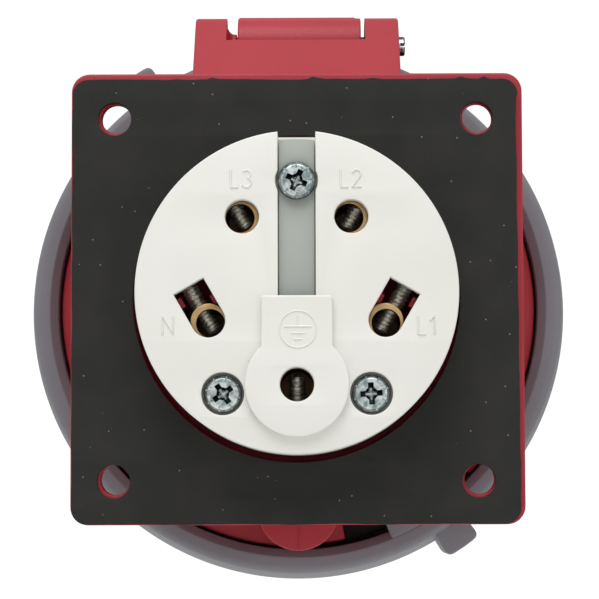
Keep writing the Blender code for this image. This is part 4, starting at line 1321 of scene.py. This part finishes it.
    def keyway_bulge(self) -> Shape:
        """The boss at the bottom that the keyway is cut in."""
        centre = (0.0, -35.1)
        profile = [(0, 34.8), (5.8, 34.8), (7.0, 20.0), (0, 20.0)]
        bulge = turned("bulge", rounded(profile, 0.35, closed=False), centre, steps=90)
        core = rod("core", self.mouth + 1, -20, 60, steps=90)
        line = block("mould_line", (-0.09, 19.88, -42.0), (0.09, 20.5, -34.0))
        bulge = combined(bulge, [core], Boolean.CUT)
        return combined(bulge, [line], Boolean.JOIN)

    def build_gasket(self) -> None:
        """The gasket, cut by a worn die: a wavy edge, small burrs, and a little off centre."""
        box = span("flange_gasket")
        draw = Random(7)
        left, right, low, high = -37.2, 36.65, -37.4, 36.25
        radius = 2.6
        corners = [(right - radius, high - radius), (left + radius, high - radius)]
        corners += [(left + radius, low + radius), (right - radius, low + radius)]
        burrs = [(-13.9, 0.3), (3.0, 0.62), (12.8, 0.36), (-20.0, 0.14), (27.5, 0.5), (31.0, 0.4)]
        outwards = [(0.0, 1.0), (-1.0, 0.0), (0.0, -1.0), (1.0, 0.0)]
        steps = 70
        outline: Outline = []
        for quarter, (centre, out) in enumerate(zip(corners, outwards)):
            outline += arc(centre, radius, quarter * 90, quarter * 90 + 90, 8)
            last = outline[-1]
            target = arc(corners[(quarter + 1) % 4], radius, (quarter + 1) * 90, (quarter + 2) * 90, 8)[0]
            for i in range(1, steps):
                share = i / steps
                x = last[0] + (target[0] - last[0]) * share
                z = last[1] + (target[1] - last[1]) * share
                wave = 0.05 * math.sin(x * 0.35 + z * 0.5 + quarter) + draw.uniform(-0.035, 0.035)
                if quarter == 0:
                    wave += sum(tall * math.exp(-(((x - at) / 0.55) ** 2)) for at, tall in burrs)
                if quarter == 3:
                    wave -= 0.35 * share
                outline.append((x + out[0] * wave, z + out[1] * wave))
        across, up = self.gasket_shift
        bore = circle((across + 0.1, up + 0.1), 27.05, 180)
        holes = [[(x + across, z + up) for x, z in hole] for hole in self.holes(self.gasket_hole)]
        loops = [outline, bore, *holes]
        gasket = extruded("foam_gasket", loops, box.low.y, box.high.y, 0.06)
        finish_piece(gasket, self.finishes.foam, ["flange_gasket"])

    def build_insert(self) -> None:
        """The white front insert with the pin holes, seen when the lid is open."""
        box = span("socket_insert")
        face = box.high.y
        radius, hub, flange = 24.0, 24.9, self.mouth - 0.4
        rear, inner = box.low.y, radius - 1
        flange_rear, flange_front = rear + 1.3, rear + 4.3
        loops = [circle((0, 0), radius, 150)]
        rooms = []
        for end in terminals():
            tube = span(f"contact_{end.name}").size.x / 2 - Contacts.tube_step
            loops.append(circle(end.centre, tube - 0.45, 48))
            rooms.append(rod("room", tube + 1.15, rear - 1, face - 1.6, end.centre, 48))
        insert = extruded("front_insert", loops, rear, face, 0.5)
        collar = [(inner, flange_rear), (flange, flange_rear), (flange, flange_front), (inner, flange_front)]
        foot = [(inner, rear), (hub, rear), (hub, flange_rear + 1), (inner, flange_rear + 1)]
        rings = [turned("collar", rounded(collar, 0.3), closed=True), turned("foot", foot, closed=True)]
        insert = combined(insert, rings, Boolean.JOIN)
        insert = combined(insert, rooms, Boolean.CUT)
        finish_piece(insert, self.finishes.white, ["socket_insert"], sharp=38)

    def build_pin(self) -> None:
        """The hinge pin, chamfered, with a slot across its proud end."""
        box = span("hinge_pin")
        low, high, radius = box.low.x, box.high.x, box.size.z / 2
        profile = rounded([(0, low), (radius, low), (radius, high), (0, high)], 0.4, closed=False)
        pin = turned("slotted_hinge_pin", profile, steps=56)
        pin = combined(pin, [block("slot", (-4, high - 0.8, -0.35), (4, high + 1, 0.35))], Boolean.CUT)
        finish_piece(placed(pin, self.hinge), self.finishes.zinc, ["hinge_pin"])


# ---------------------------------------------------------------- lid and ring


@dataclass
class Lid:
    """The lid with its arm and barrel, its seal, the snap ring and the bayonet ring.

    Attributes:
        finishes: The materials.
        neck: Outer radius of the neck that the ring turns on.
        neck_inner: Inner radius of the neck.
        seat: Y of the seal's seat.
        rim: Radius of the lid's front.
        rim_rear: Y of the rim's rear face.
        rim_front: Y of the rim's front corner.
        inside_front: Y of the lid's hollow's end.
        hollow: Radius of the lid's hollow.
        bore: Inner radius of the bayonet ring.
        chamfer: Height and depth of the chamfer at the bore's rear.
        lip: Radius of the hole in the ring's front lip.
        lug_height: How far the bayonet lugs reach inwards.
        tab_reach: Radius that the grip tabs reach.
        arm_half: Half the arm's width.
        box: The lid's box in the frame.
    """

    finishes: Finishes
    neck: float = 38.0
    neck_inner: float = 36.0
    seat: float = 43.3
    rim: float = 43.5
    rim_rear: float = 46.4
    rim_front: float = 49.4
    inside_front: float = 48.9
    hollow: float = 29.0
    bore: float = 41.95
    chamfer: float = 1.35
    lip: float = 38.5
    lug_height: float = 3.35
    tab_reach: float = 50.6
    arm_half: float = 10.2
    box: Span = field(default_factory=lambda: span("lid"))

    def build(self, housing: Housing) -> None:
        """Builds every piece that swings with the lid."""
        self.build_lid(housing)
        self.build_seal()
        self.build_snap_ring()
        self.build_ring()

    def build_lid(self, housing: Housing) -> None:
        """The domed lid with its hinge arm."""
        front, neck_rear, step = self.box.high.y, self.seat - 1.9, self.inside_front
        outside = [(0, front), (20, front - 0.15), (30, front - 0.6), (31, front - 1.2), (33, front - 1.2)]
        outside += [(34, front - 0.8), (self.rim - 2.2, self.rim_front + 0.3)]
        outside += [(self.rim, self.rim_front - 1.2), (self.rim, self.rim_rear)]
        outside += [(self.neck, self.rim_rear), (self.neck, neck_rear)]
        inside = [(self.neck_inner, neck_rear), (self.neck_inner, self.seat), (self.hollow, self.seat)]
        inside += [(self.hollow, step), (0, step)]
        lid = turned("red_lid", rounded(outside + inside, 0.4, closed=False), steps=180)
        axis_y, radius = housing.hinge_y, housing.knuckle
        under, top = span("bayonet_ring").high.z + 1.0, self.box.high.z
        half, tip, foot = self.arm_half, self.rim_front - 0.3, self.neck
        arm = [(axis_y, under), (self.rim_rear, under), (self.rim_rear, foot), (tip, foot), (tip, top)]
        arm_shape = extruded("arm", [rounded([*arm, (axis_y, top)], 1.2)], -half, half, 0.35, Axis.X)
        ends = rounded([(0, -half), (radius, -half), (radius, 11.0), (0, 11.0)], 0.3, closed=False)
        barrel = placed(turned("barrel", ends, steps=80), housing.hinge)
        bore = placed(rod("barrel_bore", housing.pin_bore, -20, 20, steps=40), housing.hinge)
        lid = combined(lid, [arm_shape, barrel], Boolean.JOIN)
        lid = combined(lid, [bore], Boolean.CUT)
        finish_piece(lid, self.finishes.red, ["lid"], Body.LID.value, sharp=36)

    def build_seal(self) -> None:
        """The lid's seal, with a raised lip that meets the housing's rim."""
        box = span("lid_seal")
        inner, outer = self.hollow + 0.4, box.size.x / 2
        rear, front = box.low.y, box.high.y
        middle = (inner + outer) / 2
        profile = [(inner, front), (inner, rear + 0.8), (middle - 1.6, rear + 0.6), (middle - 0.8, rear)]
        profile += [(middle + 0.8, rear), (middle + 1.6, rear + 0.6), (outer, rear + 0.8), (outer, front)]
        seal = turned("lid_rim_seal", rounded(profile, 0.3), closed=True)
        finish_piece(seal, self.finishes.seal, ["lid_seal"], Body.LID.value)

    def build_snap_ring(self) -> None:
        """The snap ring that keeps the bayonet ring on the neck."""
        box = span("ring_retainer")
        inner, outer = self.neck + 0.3, box.size.x / 2
        corners = [(inner, box.low.y), (outer, box.low.y), (outer, box.high.y), (inner, box.high.y)]
        snap = turned("snap_ring", rounded(corners, 0.2), closed=True)
        snap = combined(snap, [block("gap", (-1, 30, 30), (1, 60, 60))], Boolean.CUT)
        finish_piece(snap, self.finishes.acetal, ["ring_retainer"], Body.LID.value)

    def build_ring(self) -> None:
        """The bayonet ring: a smooth grip band with two lugs inside and two tabs outside."""
        box = span("bayonet_ring")
        rear, front = box.low.y, box.high.y
        outer = box.size.z / 2
        lip_rear = front - 2.4
        taper = [(outer, rear + 10.0), (outer - 0.75, rear + 3.4), (outer - 1.3, rear), (outer - 4.0, rear)]
        shoulder = rounded(taper, 2.6, closed=False, steps=10)
        profile = [(self.lip, front), (outer - 1.6, front), (outer, front - 1.6), *shoulder[:-1]]
        profile += [(self.bore + self.chamfer, rear), (self.bore, rear + self.chamfer)]
        profile += [(self.bore, lip_rear), (self.lip, lip_rear)]
        ring = turned("grey_bayonet_ring", rounded(profile, 0.5), closed=True, steps=240)
        parts = []
        for turn in (0, 180):
            lug = sector(self.bore - self.lug_height, self.bore + self.chamfer, 22 + turn, 40 + turn)
            parts.append(extruded("lug", [rounded(lug, 0.5)], rear + 0.03, rear + 2.9, 0.2))
            tab = rounded(sector(outer - 2.4, self.tab_reach, 31 + turn, 38.5 + turn, 4.0), 1.3)
            parts.append(extruded("tab", [tab], rear + 1.95, rear + 17.95, 0.35))
        ring = combined(ring, parts, Boolean.JOIN)
        finish_piece(ring, self.finishes.grey, ["bayonet_ring"], Body.RING.value, sharp=36)


# ---------------------------------------------------------------- studio


@dataclass
class Studio:
    """Floor, soft light and camera.

    Attributes:
        distance: From the camera to the panel plane, in millimetres.
        view_width: The picture's width, in the same parts as the lens's focal length.
        focal: The lens's focal length, in those parts.
        across: Camera's place along X, in millimetres.
        height: Camera's place along Z, in millimetres.
        yaw: Camera's turn to its left, in degrees.
        pitch: Camera's tilt upwards, in degrees.
        roll: Camera's roll, in degrees.
        floor_z: Height of the floor, in millimetres.
    """

    distance: float = 430.0
    view_width: float = 599.0
    focal: float = 2615.7
    across: float = 2.28
    height: float = -34.2
    yaw: float = 0.253
    pitch: float = 4.487
    roll: float = 0.165
    floor_z: float = -160.0

    def build(self) -> None:
        """Makes the floor, the lights and the camera."""
        self.build_floor()
        self.build_light()
        self.build_camera()

    def build_camera(self) -> None:
        """A long lens behind the socket, a little below its axis."""
        data = bpy.data.cameras.new("camera")
        data.sensor_width = 36.0
        data.lens = self.focal * data.sensor_width / self.view_width
        data.clip_start, data.clip_end = 0.01, 20.0
        camera = bpy.data.objects.new("camera", data)
        turn = Matrix.Identity(4)
        for degrees, axis in ((self.yaw, "Z"), (self.pitch, "X"), (self.roll, "Y"), (90.0, "X")):
            turn = turn @ Matrix.Rotation(math.radians(degrees), 4, axis)
        place = Vector((self.across, -self.distance, self.height)) * MM
        camera.matrix_world = Matrix.Translation(place) @ turn
        bpy.context.scene.collection.objects.link(camera)
        bpy.context.scene.camera = camera

    def build_floor(self) -> None:
        """A plain pale floor under the socket."""
        form = bmesh.new()
        bmesh.ops.create_grid(form, x_segments=1, y_segments=1, size=1.8)
        bmesh.ops.translate(form, vec=(0, 0, self.floor_z * MM), verts=form.verts)
        mesh = bpy.data.meshes.new("floor")
        form.to_mesh(mesh)
        form.free()
        material = bpy.data.materials.new("pale_floor")
        material.use_nodes = True
        shader = material.node_tree.nodes["Principled BSDF"]
        shader.inputs["Base Color"].default_value = linear("#f2f2f0")
        shader.inputs["Roughness"].default_value = 0.9
        mesh.materials.append(material)
        floor = bpy.data.objects.new("floor", mesh)
        bpy.context.scene.collection.objects.link(floor)

    def build_light(self) -> None:
        """Soft light from all round, stronger from above, and a white backdrop."""
        world = bpy.data.worlds.new("studio")
        world.use_nodes = True
        tree = world.node_tree
        background = tree.nodes["Background"]
        where = add_node(tree, "ShaderNodeTexCoord").outputs["Generated"]
        parts = add_node(tree, "ShaderNodeSeparateXYZ", {0: where})
        level = add_range(tree, parts.outputs["Z"], -0.7, 0.8, 0.22, 0.74)
        seen = add_node(tree, "ShaderNodeLightPath").outputs["Is Camera Ray"]
        links = {"Factor": seen, 2: level, 3: 1.05}
        strength = add_node(tree, "ShaderNodeMix", links, data_type="FLOAT")
        tree.links.new(strength.outputs[0], background.inputs["Strength"])
        background.inputs["Color"].default_value = (1, 1, 1, 1)
        bpy.context.scene.world = world
        self.add_area("key", (-60, -360, 560), 460, 2.7)
        self.add_area("fill", (380, -520, -40), 360, 0.25)
        bpy.context.scene.view_settings.view_transform = "Standard"

    @staticmethod
    def add_area(name: str, place: Sequence[float], size: float, watts: float) -> None:
        """A square soft box that faces the socket."""
        data = bpy.data.lights.new(name, "AREA")
        data.shape = "SQUARE"
        data.size = size * MM
        data.energy = watts
        lamp = bpy.data.objects.new(name, data)
        spot = Vector(place) * MM
        lamp.matrix_world = Matrix.Translation(spot) @ (-spot).to_track_quat("-Z", "Y").to_matrix().to_4x4()
        bpy.context.scene.collection.objects.link(lamp)


def main() -> None:
    """Builds the socket in order, then the studio."""
    logging.basicConfig(level=logging.INFO, format="%(name)s %(message)s")
    finishes = Finishes()
    ends = terminals()
    TerminalDrum(finishes).build(ends)
    Contacts(finishes).build(ends)
    housing = Housing(finishes)
    housing.build()
    Lid(finishes).build(housing)
    Studio().build()


if __name__ == "__main__":
    main()
